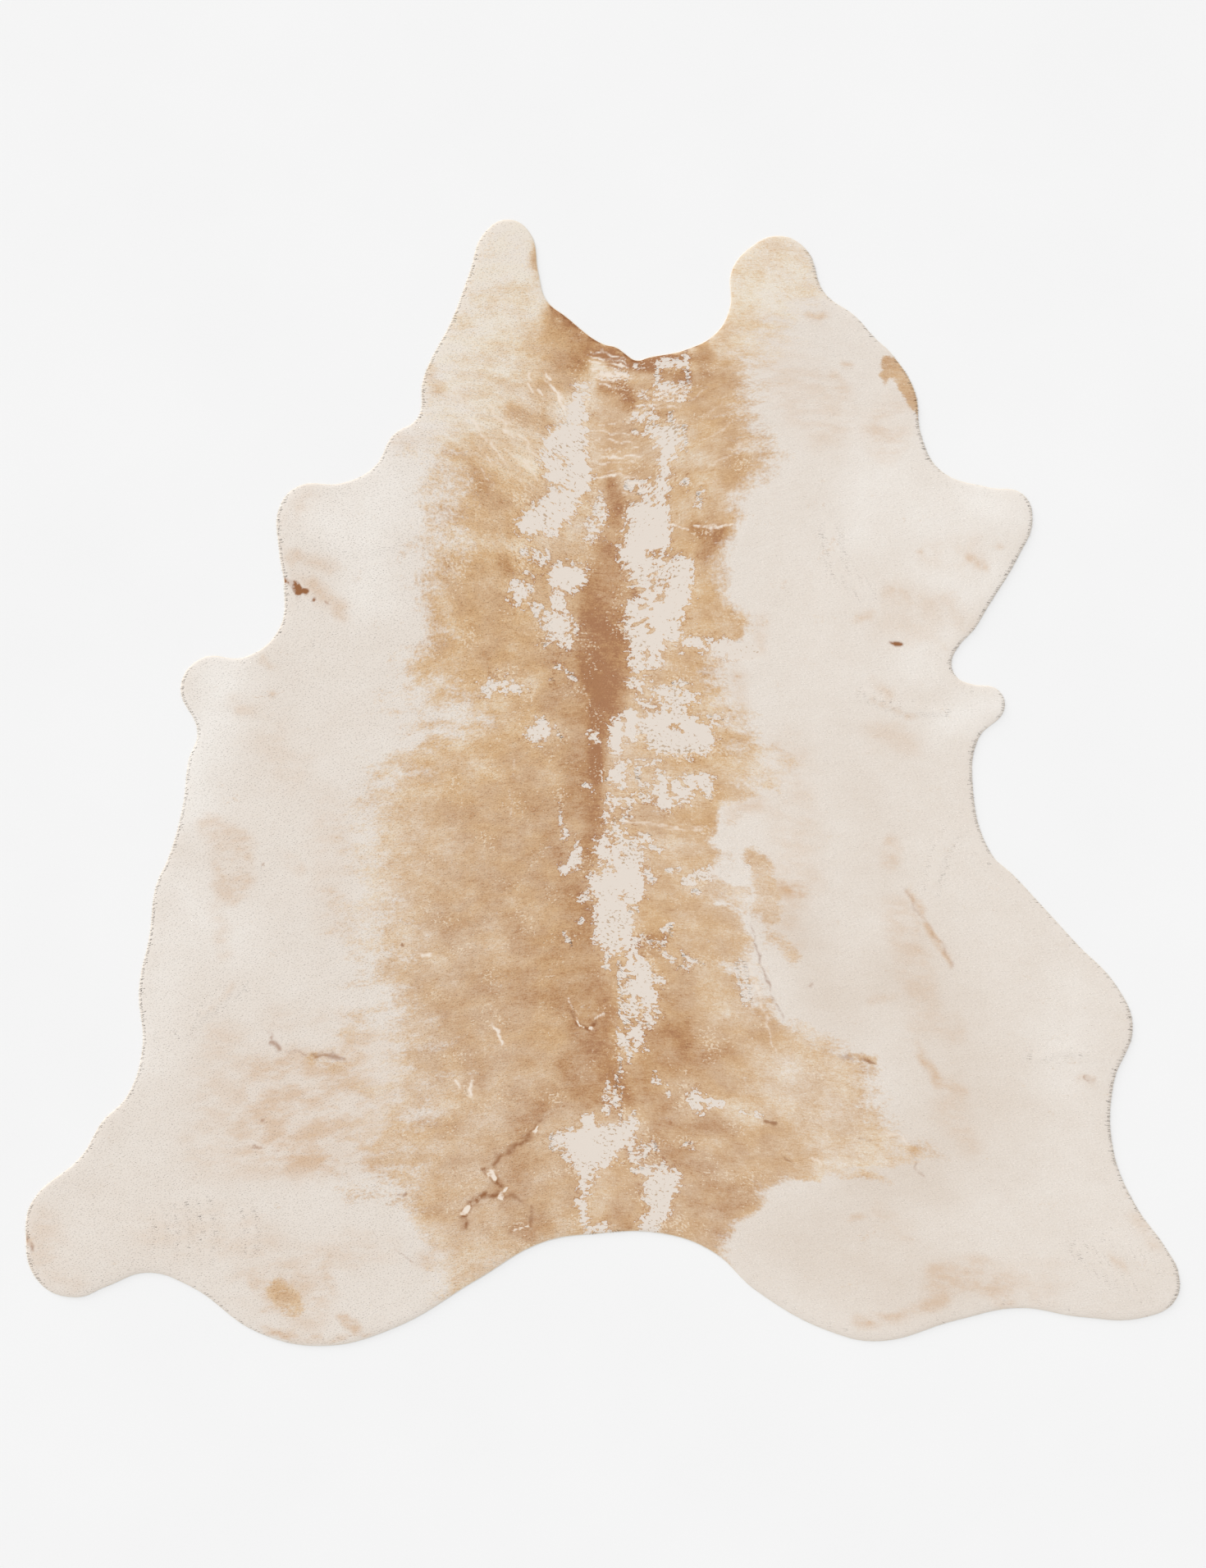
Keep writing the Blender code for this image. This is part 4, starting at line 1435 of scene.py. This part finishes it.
@dataclass(frozen=True)
class HideSheet:
    """The hide as one closed sheet: its hair side, its cut edge and its flesh side."""

    pattern: CoatPattern
    flow: HairFlow
    relief: Relief
    outline: Outline
    name: str = "hide_sheet"
    # Inset and height of each ring of the rim in millimetres, from the hair side to the flesh side
    rim: tuple[tuple[float, float], ...] = (
        (6.0, 2.8),
        (2.8, 2.35),
        (1.0, 1.8),
        (0.0, 1.1),
        (0.1, 0.4),
        (0.9, 0.0),
    )
    hairy_bands: int = 2  # so many bands of the rim still have hair
    rim_on_map: float = 3.0  # width of a band of the rim on the map, in millimetres
    top_margin: float = 9.0  # the hair side's points keep this far from the edge, in millimetres
    top_spacing: float = 0.012
    # Where markings are small: how many times closer the points lie, how near a marking's edge
    # they lie, and the widest marking that has them, in millimetres
    closer: tuple[tuple[int, float, float], ...] = ((2, 9.0, 60.0), (4, 4.5, 10.0))
    under_margin: float = 10.0
    under_spacing: float = 0.02
    merging: float = 1e-7

    def fill(self, ring: np.ndarray, points: np.ndarray) -> tuple[np.ndarray, list[list[int]]]:
        """Fills a ring with triangles.

        Args:
            ring: the closed outline, a row for each point.
            points: the points inside it.

        Returns:
            The points, with the ring's own first, and the triangles, by number of point.
        """
        count = len(ring)
        corners = [Vector(place) for place in np.vstack([ring, points])]
        edges = [(at, (at + 1) % count) for at in range(count)]
        made, _, faces, origins, _, _ = delaunay_2d_cdt(corners, edges, [], 1, self.merging)
        order = {source: number for number, came_from in enumerate(origins) for source in came_from}
        ranked = [order[at] for at in range(count)]
        rest = sorted({corner for face in faces for corner in face} - set(ranked))
        place_of = {old: new for new, old in enumerate(ranked + rest)}
        places = np.array([made[old] for old in ranked + rest])
        return places, [[place_of[corner] for corner in face] for face in faces]

    def top_points(self, ring: np.ndarray) -> np.ndarray:
        """Gives points for the hair side, closer together where its markings are small.

        Args:
            ring: the outline that they lie in.

        Returns:
            The points, none of them twice.
        """
        layers = [self.outline.lattice(ring, self.top_spacing)]
        for times, within, widest in self.closer:
            points = self.outline.lattice(ring, self.top_spacing / times)
            layers.append(points[self.pattern.needs_detail(points, within, widest)])
        return np.unique(np.round(np.vstack(layers), 6), axis=0)

    def rim_bands(self, starts: np.ndarray, count: int) -> tuple[list[list[int]], list[Side]]:
        """Joins the rings of the rim.

        Args:
            starts: the number of the first point of each ring.
            count: how many points a ring has.

        Returns:
            The faces, and the side that each belongs to.
        """
        faces, sides = [], []
        for band, (above, below) in enumerate(zip(starts[:-1], starts[1:])):
            for at in range(count):
                after = (at + 1) % count
                faces.append([above + at, below + at, below + after, above + after])
                sides.append(Side.HAIR if band < self.hairy_bands else Side.CUT)
        return faces, sides

    def build(self) -> bpy.types.Object:
        """Makes the sheet and paints its markings on it.

        Returns:
            The sheet, with no materials yet.
        """
        ring = self.outline.ring()
        outward = self.outline.outward(ring)
        count = len(ring)
        insets = [ring - outward * inset * MM for inset, _ in self.rim]
        inside = self.top_points(ring - outward * self.top_margin * MM)
        top, top_faces = self.fill(insets[0], inside)
        inside = self.outline.lattice(ring - outward * self.under_margin * MM, self.under_spacing)
        under, under_faces = self.fill(insets[-1], inside)
        places = np.vstack([top, *insets[1:-1], under])
        starts = np.cumsum([0, len(top)] + [count] * (len(self.rim) - 2))

        layers = self.pattern.paint(places)
        heights = self.relief.lift(places)
        heights[: len(top)] = self.relief.top(top, layers[Layer.WORN.value][: len(top)])
        for start, inset, (_, height) in zip(starts, insets, self.rim):
            heights[start : start + count] = self.relief.lift(inset) + height * MM

        rim_faces, rim_sides = self.rim_bands(starts, count)
        faces = top_faces + rim_faces + [[starts[-1] + at for at in face[::-1]] for face in under_faces]
        sides = [Side.HAIR] * len(top_faces) + rim_sides + [Side.FLESH] * len(under_faces)
        mesh = bpy.data.meshes.new(self.name)
        mesh.from_pydata(np.c_[places, heights].tolist(), [], faces)
        mesh.polygons.foreach_set("material_index", [side.value for side in sides])
        mesh.update()
        mesh.shade_smooth()
        dress(mesh, layers, self.flow.coordinates(places), np.full(len(places), 0.5))

        spread = places.copy()
        for number, start in enumerate(starts[1:], 1):
            spread[start : start + count] = insets[0] + outward * number * self.rim_on_map * MM
        below = np.repeat([side is Side.FLESH for side in sides], [len(face) for face in faces])
        lay_out(mesh, spread, below)
        sheet = bpy.data.objects.new(self.name, mesh)
        bpy.context.scene.collection.objects.link(sheet)
        return sheet


@dataclass(frozen=True)
class Coat:
    """The short hair, as flat locks that lie along its flow over the whole hair side.

    Real cow hair is 0.1 mm thick and 10 to 20 mm long. A lock stands for some twenty hairs that
    lie together, because single ones are too fine to show and too many to model.
    """

    pattern: CoatPattern
    flow: HairFlow
    relief: Relief
    outline: Outline
    spacing: float = 4.4 * MM
    scatter: float = 0.42  # how far a root may be moved, in spacings
    turn: float = 9.0  # degrees by which locks commonly turn off the flow
    length: float = 10.5 * MM
    width: float = 1.5 * MM
    ridge: float = 0.07 * MM
    # The least and most of each of these on a lock
    lengths: tuple[float, float] = (0.65, 1.35)
    widths: tuple[float, float] = (0.7, 1.3)
    ridges: tuple[float, float] = (0.5, 1.5)
    peak: float = 0.4  # where along a lock its ridge is highest
    sunk: float = 0.03 * MM  # all of a lock but its ridge lies this far in the skin
    root_margin: float = 3.0  # millimetres from the cut edge to the nearest roots
    overhang: float = 2.0 * MM
    bare: float = 1.0  # no lock grows deeper than this in a worn patch
    scarred: float = 0.35  # nor on a mark that is stronger than this
    sight: float = 0.1  # the height from which the skin is looked for
    seed: int = 11
    names: tuple[str, ...] = ("coat_rump", "coat_flanks", "coat_shoulders", "coat_neck")

    def headings(self, roots: np.ndarray, random: np.random.Generator) -> np.ndarray:
        """Turns each lock a little off the flow of the hair.

        Args:
            roots: the locks' roots, a row each.
            random: the source of all that differs from lock to lock.

        Returns:
            A unit vector for each lock, from its root to its tip.
        """
        turn = np.radians(random.normal(0, self.turn, len(roots)))
        across, along = self.flow.direction(roots).T
        return np.stack(
            [
                across * np.cos(turn) - along * np.sin(turn),
                across * np.sin(turn) + along * np.cos(turn),
            ],
            1,
        )

    def heights(self, surface: BVHTree, places: np.ndarray, spare: np.ndarray) -> np.ndarray:
        """Finds the height of the hair side.

        Args:
            surface: the sheet.
            places: where to look, a row each.
            spare: the heights to give past the sheet's edge.

        Returns:
            A height for each place.
        """
        down = Vector((0.0, 0.0, -1.0))
        hits = (surface.ray_cast((*place, self.sight), down)[0] for place in places)
        return np.array([other if hit is None else hit.z for hit, other in zip(hits, spare)])

    def grow(self, surface: BVHTree, random: np.random.Generator) -> np.ndarray:
        """Places a lock on each point of an uneven lattice.

        Args:
            surface: the sheet that the hair grows from.
            random: the source of all that differs from lock to lock.

        Returns:
            For each lock the left and right of its root, its peak and its tip.
        """
        ring = self.outline.ring()
        inner = ring - self.outline.outward(ring) * self.root_margin * MM
        roots = self.outline.lattice(inner, self.spacing)
        roots = roots + random.uniform(-self.scatter, self.scatter, roots.shape) * self.spacing
        count = len(roots)
        ahead = self.headings(roots, random)
        room = np.minimum(self.outline.gaps(ring, roots), self.length * 2) + self.overhang
        lengths = np.minimum(self.length * random.uniform(*self.lengths, count), room)
        half = self.width / 2 * random.uniform(*self.widths, count)
        ridge = self.ridge * random.uniform(*self.ridges, count)
        sideways = np.stack([ahead[:, 1], -ahead[:, 0]], 1) * half[:, None]
        peaks = roots + ahead * (lengths * self.peak)[:, None]
        tips = roots + ahead * lengths[:, None]
        skin = self.heights(surface, roots, np.full(count, self.relief.skin_top))
        at_peak = self.heights(surface, peaks, skin)
        at_tip = self.heights(surface, tips, at_peak - 2 * self.sunk)
        return np.stack(
            [
                np.c_[roots - sideways, skin - self.sunk],
                np.c_[roots + sideways, skin - self.sunk],
                np.c_[peaks, at_peak + ridge],
                np.c_[tips, at_tip - self.sunk],
            ],
            1,
        )

    @staticmethod
    def piece(name: str, corners: np.ndarray) -> bpy.types.Object:
        """Makes a piece of locks, each a long, low, closed wedge of four corners.

        Args:
            name: the piece's name.
            corners: the corners of its locks, a row each.

        Returns:
            The piece, with no materials yet.
        """
        wedge = np.array([(0, 2, 3), (1, 3, 2), (0, 1, 2), (0, 3, 1)])
        faces = (np.arange(0, len(corners), 4)[:, None, None] + wedge).reshape(-1, 3)
        mesh = bpy.data.meshes.new(name)
        mesh.vertices.add(len(corners))
        mesh.vertices.foreach_set("co", corners.astype(np.float32).ravel())
        mesh.loops.add(faces.size)
        mesh.loops.foreach_set("vertex_index", faces.astype(np.int32).ravel())
        mesh.polygons.add(len(faces))
        mesh.polygons.foreach_set("loop_start", np.arange(0, faces.size, 3, dtype=np.int32))
        mesh.update(calc_edges=True)
        piece = bpy.data.objects.new(name, mesh)
        bpy.context.scene.collection.objects.link(piece)
        return piece

    def build(self, sheet: bpy.types.Object) -> list[bpy.types.Object]:
        """Makes the locks, in one piece for each part of the hide.

        Args:
            sheet: the finished skin that the hair grows from.

        Returns:
            The pieces, from the tail to the neck.
        """
        random = np.random.default_rng(self.seed)
        surface = BVHTree.FromObject(sheet, bpy.context.evaluated_depsgraph_get())
        locks = self.grow(surface, random)
        corners = locks.reshape(-1, 3)
        places = corners[:, :2]
        layers = self.pattern.paint(places)
        flow = self.flow.coordinates(places)
        lock = np.repeat(random.uniform(0, 1, len(locks)), 4)
        worn = layers[Layer.WORN.value].reshape(-1, 4).max(1) > self.bare
        marked = np.abs(layers[Layer.MARK.value]).reshape(-1, 4).max(1) > self.scarred
        kept = np.arange(len(corners)).reshape(-1, 4)[~(worn | marked)]
        pieces = []
        for name, chosen in zip(self.names, np.array_split(kept, len(self.names))):
            at = chosen.ravel()
            piece = self.piece(name, corners[at])
            dress(piece.data, {layer: values[at] for layer, values in layers.items()}, flow[at], lock[at])
            lay_out(piece.data, places[at])
            pieces.append(piece)
        return pieces


class Grain(NamedTuple):
    """A pattern of the coat, with its size along the hair and across it in millimetres."""

    name: str
    along: float
    across: float
    detail: float
    roughness: float


class Rise(Enum):
    """How a ramp rises, under the renderer's name for it."""

    EVEN = "LINEAR"
    EASED = "SMOOTHSTEP"


class Ramp(NamedTuple):
    """Turns a level to a strength, which changes between two levels and is the same past them."""

    start: float
    end: float
    low: float = 0.0
    high: float = 1.0
    rise: Rise = Rise.EVEN

    def reads(self, level: bpy.types.NodeSocket) -> dict[str, Any]:
        """Gives the inputs of the ramp's node.

        Args:
            level: the socket with the level.

        Returns:
            The value of each input, by its name.
        """
        ends = {"From Min": self.start, "From Max": self.end, "To Min": self.low, "To Max": self.high}
        return {"Value": level} | ends


class Level(NamedTuple):
    """What a part of the coat's colour goes by: other levels, added up, and a ramp over the sum."""

    name: str
    start: str | float  # the level or the number that the sum starts from
    added: Weights = ()
    ramp: Ramp | None = None


@dataclass(frozen=True)
class HairSideFinish:
    """Short cow hair, tanned on the skin and pressed flat: matt, clouded and ticked along its flow."""

    name: str = "short_cow_hair"
    roughness: float = 0.78
    specular: float = 0.25
    hair_bump: float = 0.4  # how much of the relief below shows
    hair_height: float = 0.4 * MM
    grains: tuple[Grain, ...] = (
        Grain("cloud", 95, 70, 2.0, 0.5),
        Grain("hue", 60, 40, 2.0, 0.5),
        Grain("wisps", 75, 34, 8.0, 0.68),
        Grain("blotch", 36, 24, 4.0, 0.6),
        Grain("streak", 34, 3.0, 3.0, 0.55),
        Grain("ticks", 17, 2.2, 2.0, 0.5),
        # The real hair is 0.1 mm wide; its grain is drawn a millimetre wide so that it shows
        Grain("hair", 9, 1.0, 2.0, 0.5),
        Grain("ragged", 26, 18, 6.0, 0.66),
        Grain("nibble", 11, 7.5, 3.0, 0.6),
        Grain("dots", 5.5, 4.0, 1.0, 0.5),
        Grain("flecks", 7.0, 4.5, 2.0, 0.6),
        Grain("crumbs", 3.4, 2.6, 2.0, 0.6),
        Grain("crowd", 60, 50, 2.0, 0.5),
    )
    # The levels read the painted layers, the grains and the levels above them
    levels: tuple[Level, ...] = (
        # The tan's edge frays in wisps, tufts and single locks
        Level(
            "covered",
            "cover",
            (("wisps", 6.0), ("flecks", 2.4), ("lock", 0.2)),
            Ramp(3.2, 5.4, rise=Rise.EASED),
        ),
        # The worn patches are ragged at every scale, and a darker lip runs round them
        Level("edge", "worn", (("ragged", 10.0), ("nibble", 11.0), ("flecks", 4.0), ("crumbs", 1.0))),
        Level("bare", "edge", ramp=Ramp(12.65, 13.35, rise=Rise.EASED)),
        # The lip is painted shade along the edge of the hair, where it stands over the lower bare skin
        Level("lip", "edge", ramp=Ramp(11.4, 12.4, 0.0, 0.26)),
        # The tan is marbled, around 0: the start takes off the half that each grain averages
        Level(
            "marbling",
            -1.1,
            (
                ("cloud", 0.50),
                ("blotch", 0.42),
                ("nibble", 0.34),
                ("streak", 0.20),
                ("crumbs", 0.40),
                ("hair", 0.26),
                ("lock", 0.08),
            ),
        ),
        # Darker hairs tick it
        Level("ticked", "ticks", ramp=Ramp(0.62, 0.72, 0.0, 0.16)),
        Level("shade", "marbling", (("tan", 1.0), ("ticked", 1.0), ("lip", 1.0))),
        # It turns from pinkish to ochre and back in wide clouds
        Level("turn", "hue", ramp=Ramp(0.35, 0.65, -0.25, 0.25)),
        Level("warm", "warmth", (("turn", 1.0),), Ramp(0.0, 1.0)),
        # The pale ground is clouded less, and its washes of tan are uneven
        Level("whiteness", "pale", (("marbling", -0.5),)),
        Level("mottled", "wisps", ramp=Ramp(0.40, 0.60, 0.4, 1.6)),
        # Single tufts of hair are missing, in some places and round the worn patches more of them
        Level("dotted", "dots", (("crowd", 0.9), ("worn", 0.02)), Ramp(1.11, 1.16, 0.0, 0.6)),
        # Single tufts are left on the worn patches, in groups
        Level("stubbly", "flecks", (("crowd", -0.5),), Ramp(0.04, 0.10, 0.8, 0.0)),
        # Scabs and scratches are broken up, and the scratches are the marks under 0
        Level("broken", "ragged", ramp=Ramp(0.40, 0.54, 0.3, 1.3)),
        Level("scratched", 0.0, (("mark", -1.0),), Ramp(0.0, 1.0)),
    )
    # From the palest hair to the brown of the stripe
    ochre: tuple[str, ...] = ("#ece2d2", "#e6d4bb", "#dec2a0", "#d5b085", "#caa379", "#bd8f62", "#ab7b55")
    pinkish: tuple[str, ...] = ("#eae0d6", "#e4d4c3", "#ddc6ae", "#d4b799", "#caa98a", "#be9571", "#a97957")
    greyest: str = "#dccec0"  # of the pale ground
    whitest: str = "#f1ebe4"
    wash: str = "#cfa67b"
    gap: str = "#eedcc4"  # where a tuft is missing
    skin: str = "#e6dbd0"
    stubble: str = "#b99b79"
    scab: str = "#96643f"
    scratch: str = "#f0e2d3"

    def read(self, tree: bpy.types.NodeTree) -> dict[str, bpy.types.NodeSocket]:
        """Reads what the coat's colour goes by.

        Args:
            tree: the material's node tree.

        Returns:
            The painted layers, the grains and the levels, by name.
        """
        flow = add_node(tree, "ShaderNodeAttribute", attribute_name="flow").outputs["Vector"]
        found = {
            name: add_node(tree, "ShaderNodeAttribute", attribute_name=name).outputs["Fac"]
            for name in [layer.value for layer in Layer] + ["lock"]
        }
        for grain in self.grains:
            inputs = {0: flow, 1: (1 / (grain.along * MM), 1 / (grain.across * MM), 0.0)}
            place = add_node(tree, "ShaderNodeVectorMath", inputs, operation="MULTIPLY").outputs[0]
            inputs = {"Vector": place, "Scale": 1.0, "Detail": grain.detail, "Roughness": grain.roughness}
            noise = add_node(tree, "ShaderNodeTexNoise", inputs, noise_dimensions="2D")
            found[grain.name] = noise.outputs["Fac"]
        for level in self.levels:
            total: Any = found.get(level.start, level.start)
            for name, weight in level.added:
                inputs = {0: found[name], 1: weight, 2: total}
                total = add_node(tree, "ShaderNodeMath", inputs, operation="MULTIPLY_ADD").outputs[0]
            if level.ramp is not None:
                rise = level.ramp.rise.value
                inputs = level.ramp.reads(total)
                total = add_node(tree, "ShaderNodeMapRange", inputs, interpolation_type=rise).outputs[0]
            found[level.name] = total
        return found

    def build(self) -> bpy.types.Material:
        """Makes the material.

        Returns:
            The finish of the hair side and of the locks.
        """
        material = bpy.data.materials.new(self.name)
        material.use_nodes = True
        tree = material.node_tree
        found = self.read(tree)
        tans = []
        for colours in (self.pinkish, self.ochre):
            ramp = add_node(tree, "ShaderNodeValToRGB", {"Fac": found["shade"]})
            stops = ramp.color_ramp.elements
            while len(stops) < len(colours):
                stops.new(0.5)
            for number, colour in enumerate(colours):
                stops[number].position = number / (len(colours) - 1)
                stops[number].color = linear(colour)
            tans.append(ramp.outputs["Color"])
        tan, ground, skin = (
            add_node(
                tree, "ShaderNodeMix", {FACTOR: found[name], UNDER: under, OVER: over}, data_type="RGBA"
            ).outputs[BLENDED]
            for name, under, over in (
                ("warm", *tans),
                ("whiteness", linear(self.greyest), linear(self.whitest)),
                ("stubbly", linear(self.skin), linear(self.stubble)),
            )
        )

        # Each of these lies over those before it
        colour = ground
        for name, share, over in (
            ("stain", found["mottled"], linear(self.wash)),
            ("covered", 1.0, tan),
            ("dotted", found["covered"], linear(self.gap)),
            ("bare", 1.0, skin),
            ("mark", found["broken"], linear(self.scab)),
            ("scratched", found["broken"], linear(self.scratch)),
        ):
            inputs = {0: found[name], 1: share}
            cover = add_node(tree, "ShaderNodeMath", inputs, operation="MULTIPLY", use_clamp=True)
            inputs = {FACTOR: cover.outputs[0], UNDER: colour, OVER: over}
            colour = add_node(tree, "ShaderNodeMix", inputs, data_type="RGBA").outputs[BLENDED]

        shader = tree.nodes["Principled BSDF"]
        shader.inputs["Roughness"].default_value = self.roughness
        shader.inputs["Specular IOR Level"].default_value = self.specular
        inputs = {"Height": found["hair"], "Strength": self.hair_bump, "Distance": self.hair_height}
        bump = add_node(tree, "ShaderNodeBump", inputs)
        tree.links.new(colour, shader.inputs["Base Color"])
        tree.links.new(bump.outputs["Normal"], shader.inputs["Normal"])
        return material


@dataclass(frozen=True)
class NapFinish:
    """A matt, fibrous finish: clouds of two tones with a fine nap over them."""

    name: str
    dark: str
    light: str
    cloud: float  # width of a cloud in millimetres
    nap: float  # width of a tuft of the nap in millimetres
    relief: float  # height of the nap in millimetres
    roughness: float = 0.92
    specular: float = 0.2
    detail: float = 3.0  # of both patterns
    fineness: float = 0.6
    tones: Ramp = Ramp(0.75, 1.25)

    def build(self) -> bpy.types.Material:
        """Makes the material.

        Returns:
            The finish.
        """
        material = bpy.data.materials.new(self.name)
        material.use_nodes = True
        tree = material.node_tree
        place = add_node(tree, "ShaderNodeTexCoord").outputs["Object"]
        same = {"Vector": place, "Detail": self.detail, "Roughness": self.fineness}
        clouds, tufts = (
            add_node(tree, "ShaderNodeTexNoise", same | {"Scale": 1 / (size * MM)}).outputs["Fac"]
            for size in (self.cloud, self.nap)
        )
        both = add_node(tree, "ShaderNodeMath", {0: clouds, 1: tufts}, operation="ADD").outputs[0]
        tone = add_node(tree, "ShaderNodeMapRange", self.tones.reads(both)).outputs[0]
        inputs = {FACTOR: tone, UNDER: linear(self.dark), OVER: linear(self.light)}
        colour = add_node(tree, "ShaderNodeMix", inputs, data_type="RGBA").outputs[BLENDED]
        inputs = {"Height": tufts, "Strength": 1.0, "Distance": self.relief * MM}
        bump = add_node(tree, "ShaderNodeBump", inputs)
        shader = tree.nodes["Principled BSDF"]
        shader.inputs["Roughness"].default_value = self.roughness
        shader.inputs["Specular IOR Level"].default_value = self.specular
        tree.links.new(colour, shader.inputs["Base Color"])
        tree.links.new(bump.outputs["Normal"], shader.inputs["Normal"])
        return material


# The paper that the rug was photographed on: bright and matt, it keeps a soft shade round the rug
PAPER_FLOOR = NapFinish("matt_paper_floor", "#f4f4f4", "#f6f6f6", 400, 3.0, 0.02)
# The side of the cut: the pale, fibrous core of tanned leather, which draws a light line round the rug
# Its colour is made paler still: painted light that offsets the shade the edge falls in
CUT_LEATHER_AND_PAINTED_LIGHT = NapFinish("cut_leather_edge_and_painted_light", "#e6d8c4", "#f8f0e4", 9.0, 0.8, 0.10)
# The underside: brushed suede, whose nap is lighter where it was stroked and looks soft and dry
SUEDE = NapFinish("suede_flesh_side", "#c3b39d", "#dccfbf", 60.0, 1.6, 0.15)


class Lamp(NamedTuple):
    """A lamp at the upper left of the photograph."""

    name: str
    share: float  # how much of the floor's light comes from it
    tilt: float  # how far it leans from upright, in degrees
    angle: float  # how broad it looks, in degrees


@dataclass(frozen=True)
class Studio:
    """A pale floor, soft light from the upper left and a camera straight above the rug."""

    surround: str = "#f5f5f5"
    floor_radius: float = 14.0
    floor_corners: int = 96
    floor_drop: float = 0.0002  # keeps the floor clear of the rug's underside
    lens: float = 70.0
    sensor: float = 36.0
    photo_height: float = 2.964  # metres of floor that the photograph's long side takes in
    photo_middle: tuple[float, float] = (0.0005, -0.0026)
    # The first lamp lights the rug, and the second rakes over the hair and brings out its relief
    lamps: tuple[Lamp, ...] = (Lamp("key", 0.225, 45.0, 60.0), Lamp("rake", 0.055, 80.0, 14.0))
    lamp_side: tuple[float, float] = (-0.66, 0.75)  # the way to the lamps across the floor

    def camera(self, top: float) -> None:
        """Puts the camera straight above the rug.

        Args:
            top: the height of the hide's upper side, in metres.
        """
        data = bpy.data.cameras.new("camera")
        data.lens = self.lens
        data.sensor_fit = "AUTO"
        data.sensor_width = self.sensor
        camera = bpy.data.objects.new("camera", data)
        camera.location = (*self.photo_middle, top + self.photo_height * self.lens / self.sensor)
        bpy.context.scene.collection.objects.link(camera)
        bpy.context.scene.camera = camera

    def floor(self) -> None:
        """Makes the floor that the rug lies on."""
        bpy.ops.object.select_all(action="DESELECT")
        bpy.ops.mesh.primitive_circle_add(
            vertices=self.floor_corners, radius=self.floor_radius, fill_type="NGON"
        )
        floor = bpy.context.object
        floor.name = "floor"
        floor.location.z = -self.floor_drop
        floor.data.materials.append(PAPER_FLOOR.build())

    def light(self) -> None:
        """Sets a bright, even surround, which the camera sees as the paper, and the lamps."""
        world = bpy.data.worlds.new("surround")
        bpy.context.scene.world = world
        world.use_nodes = True
        tree = world.node_tree
        backdrop = tree.nodes["Background"]
        backdrop.inputs["Color"].default_value = linear(self.surround)
        backdrop.inputs["Strength"].default_value = 1.0
        inputs = {"Color": linear("#ffffff"), "Strength": 1 - sum(lamp.share for lamp in self.lamps)}
        ambient = add_node(tree, "ShaderNodeBackground", inputs)
        seen = add_node(tree, "ShaderNodeLightPath").outputs["Is Camera Ray"]
        inputs = {0: seen, 1: ambient.outputs[0], 2: backdrop.outputs[0]}
        mixed = add_node(tree, "ShaderNodeMixShader", inputs)
        tree.links.new(mixed.outputs[0], tree.nodes["World Output"].inputs["Surface"])
        for lamp in self.lamps:
            self.hang(lamp)

    def hang(self, lamp: Lamp) -> None:
        """Puts a lamp up.

        Args:
            lamp: its name, strength and place.
        """
        lean = math.radians(lamp.tilt)
        sun = bpy.data.lights.new(lamp.name, "SUN")
        sun.energy = lamp.share * math.pi / math.cos(lean)
        sun.angle = math.radians(lamp.angle)
        across, along = self.lamp_side
        towards = Vector((across * math.sin(lean), along * math.sin(lean), math.cos(lean)))
        hung = bpy.data.objects.new(lamp.name, sun)
        hung.rotation_euler = towards.to_track_quat("Z", "Y").to_euler()
        bpy.context.scene.collection.objects.link(hung)


def main() -> None:
    """Builds the rug and the studio round it."""
    logging.basicConfig(level=logging.INFO, format="%(name)s: %(message)s")
    bpy.context.scene.view_settings.view_transform = "Standard"
    _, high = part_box("hide")
    studio = Studio()
    studio.camera(high.z)
    studio.floor()
    studio.light()

    pattern = CoatPattern()
    outline = Outline()
    shape = (pattern, HairFlow(), Relief(outline, pattern), outline)
    sheet = HideSheet(*shape).build()
    hair = HairSideFinish().build()
    sheet.data.materials.append(hair)
    sheet.data.materials.append(CUT_LEATHER_AND_PAINTED_LIGHT.build())
    sheet.data.materials.append(SUEDE.build())
    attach(sheet, "root")
    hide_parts("hide")
    LOG.info("%s: %d faces", sheet.name, len(sheet.data.polygons))
    coats = Coat(*shape).build(sheet)
    for piece in coats:
        piece.data.materials.append(hair)
        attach(piece, "root")
        LOG.info("%s: %d faces", piece.name, len(piece.data.polygons))


if __name__ == "__main__":
    main()
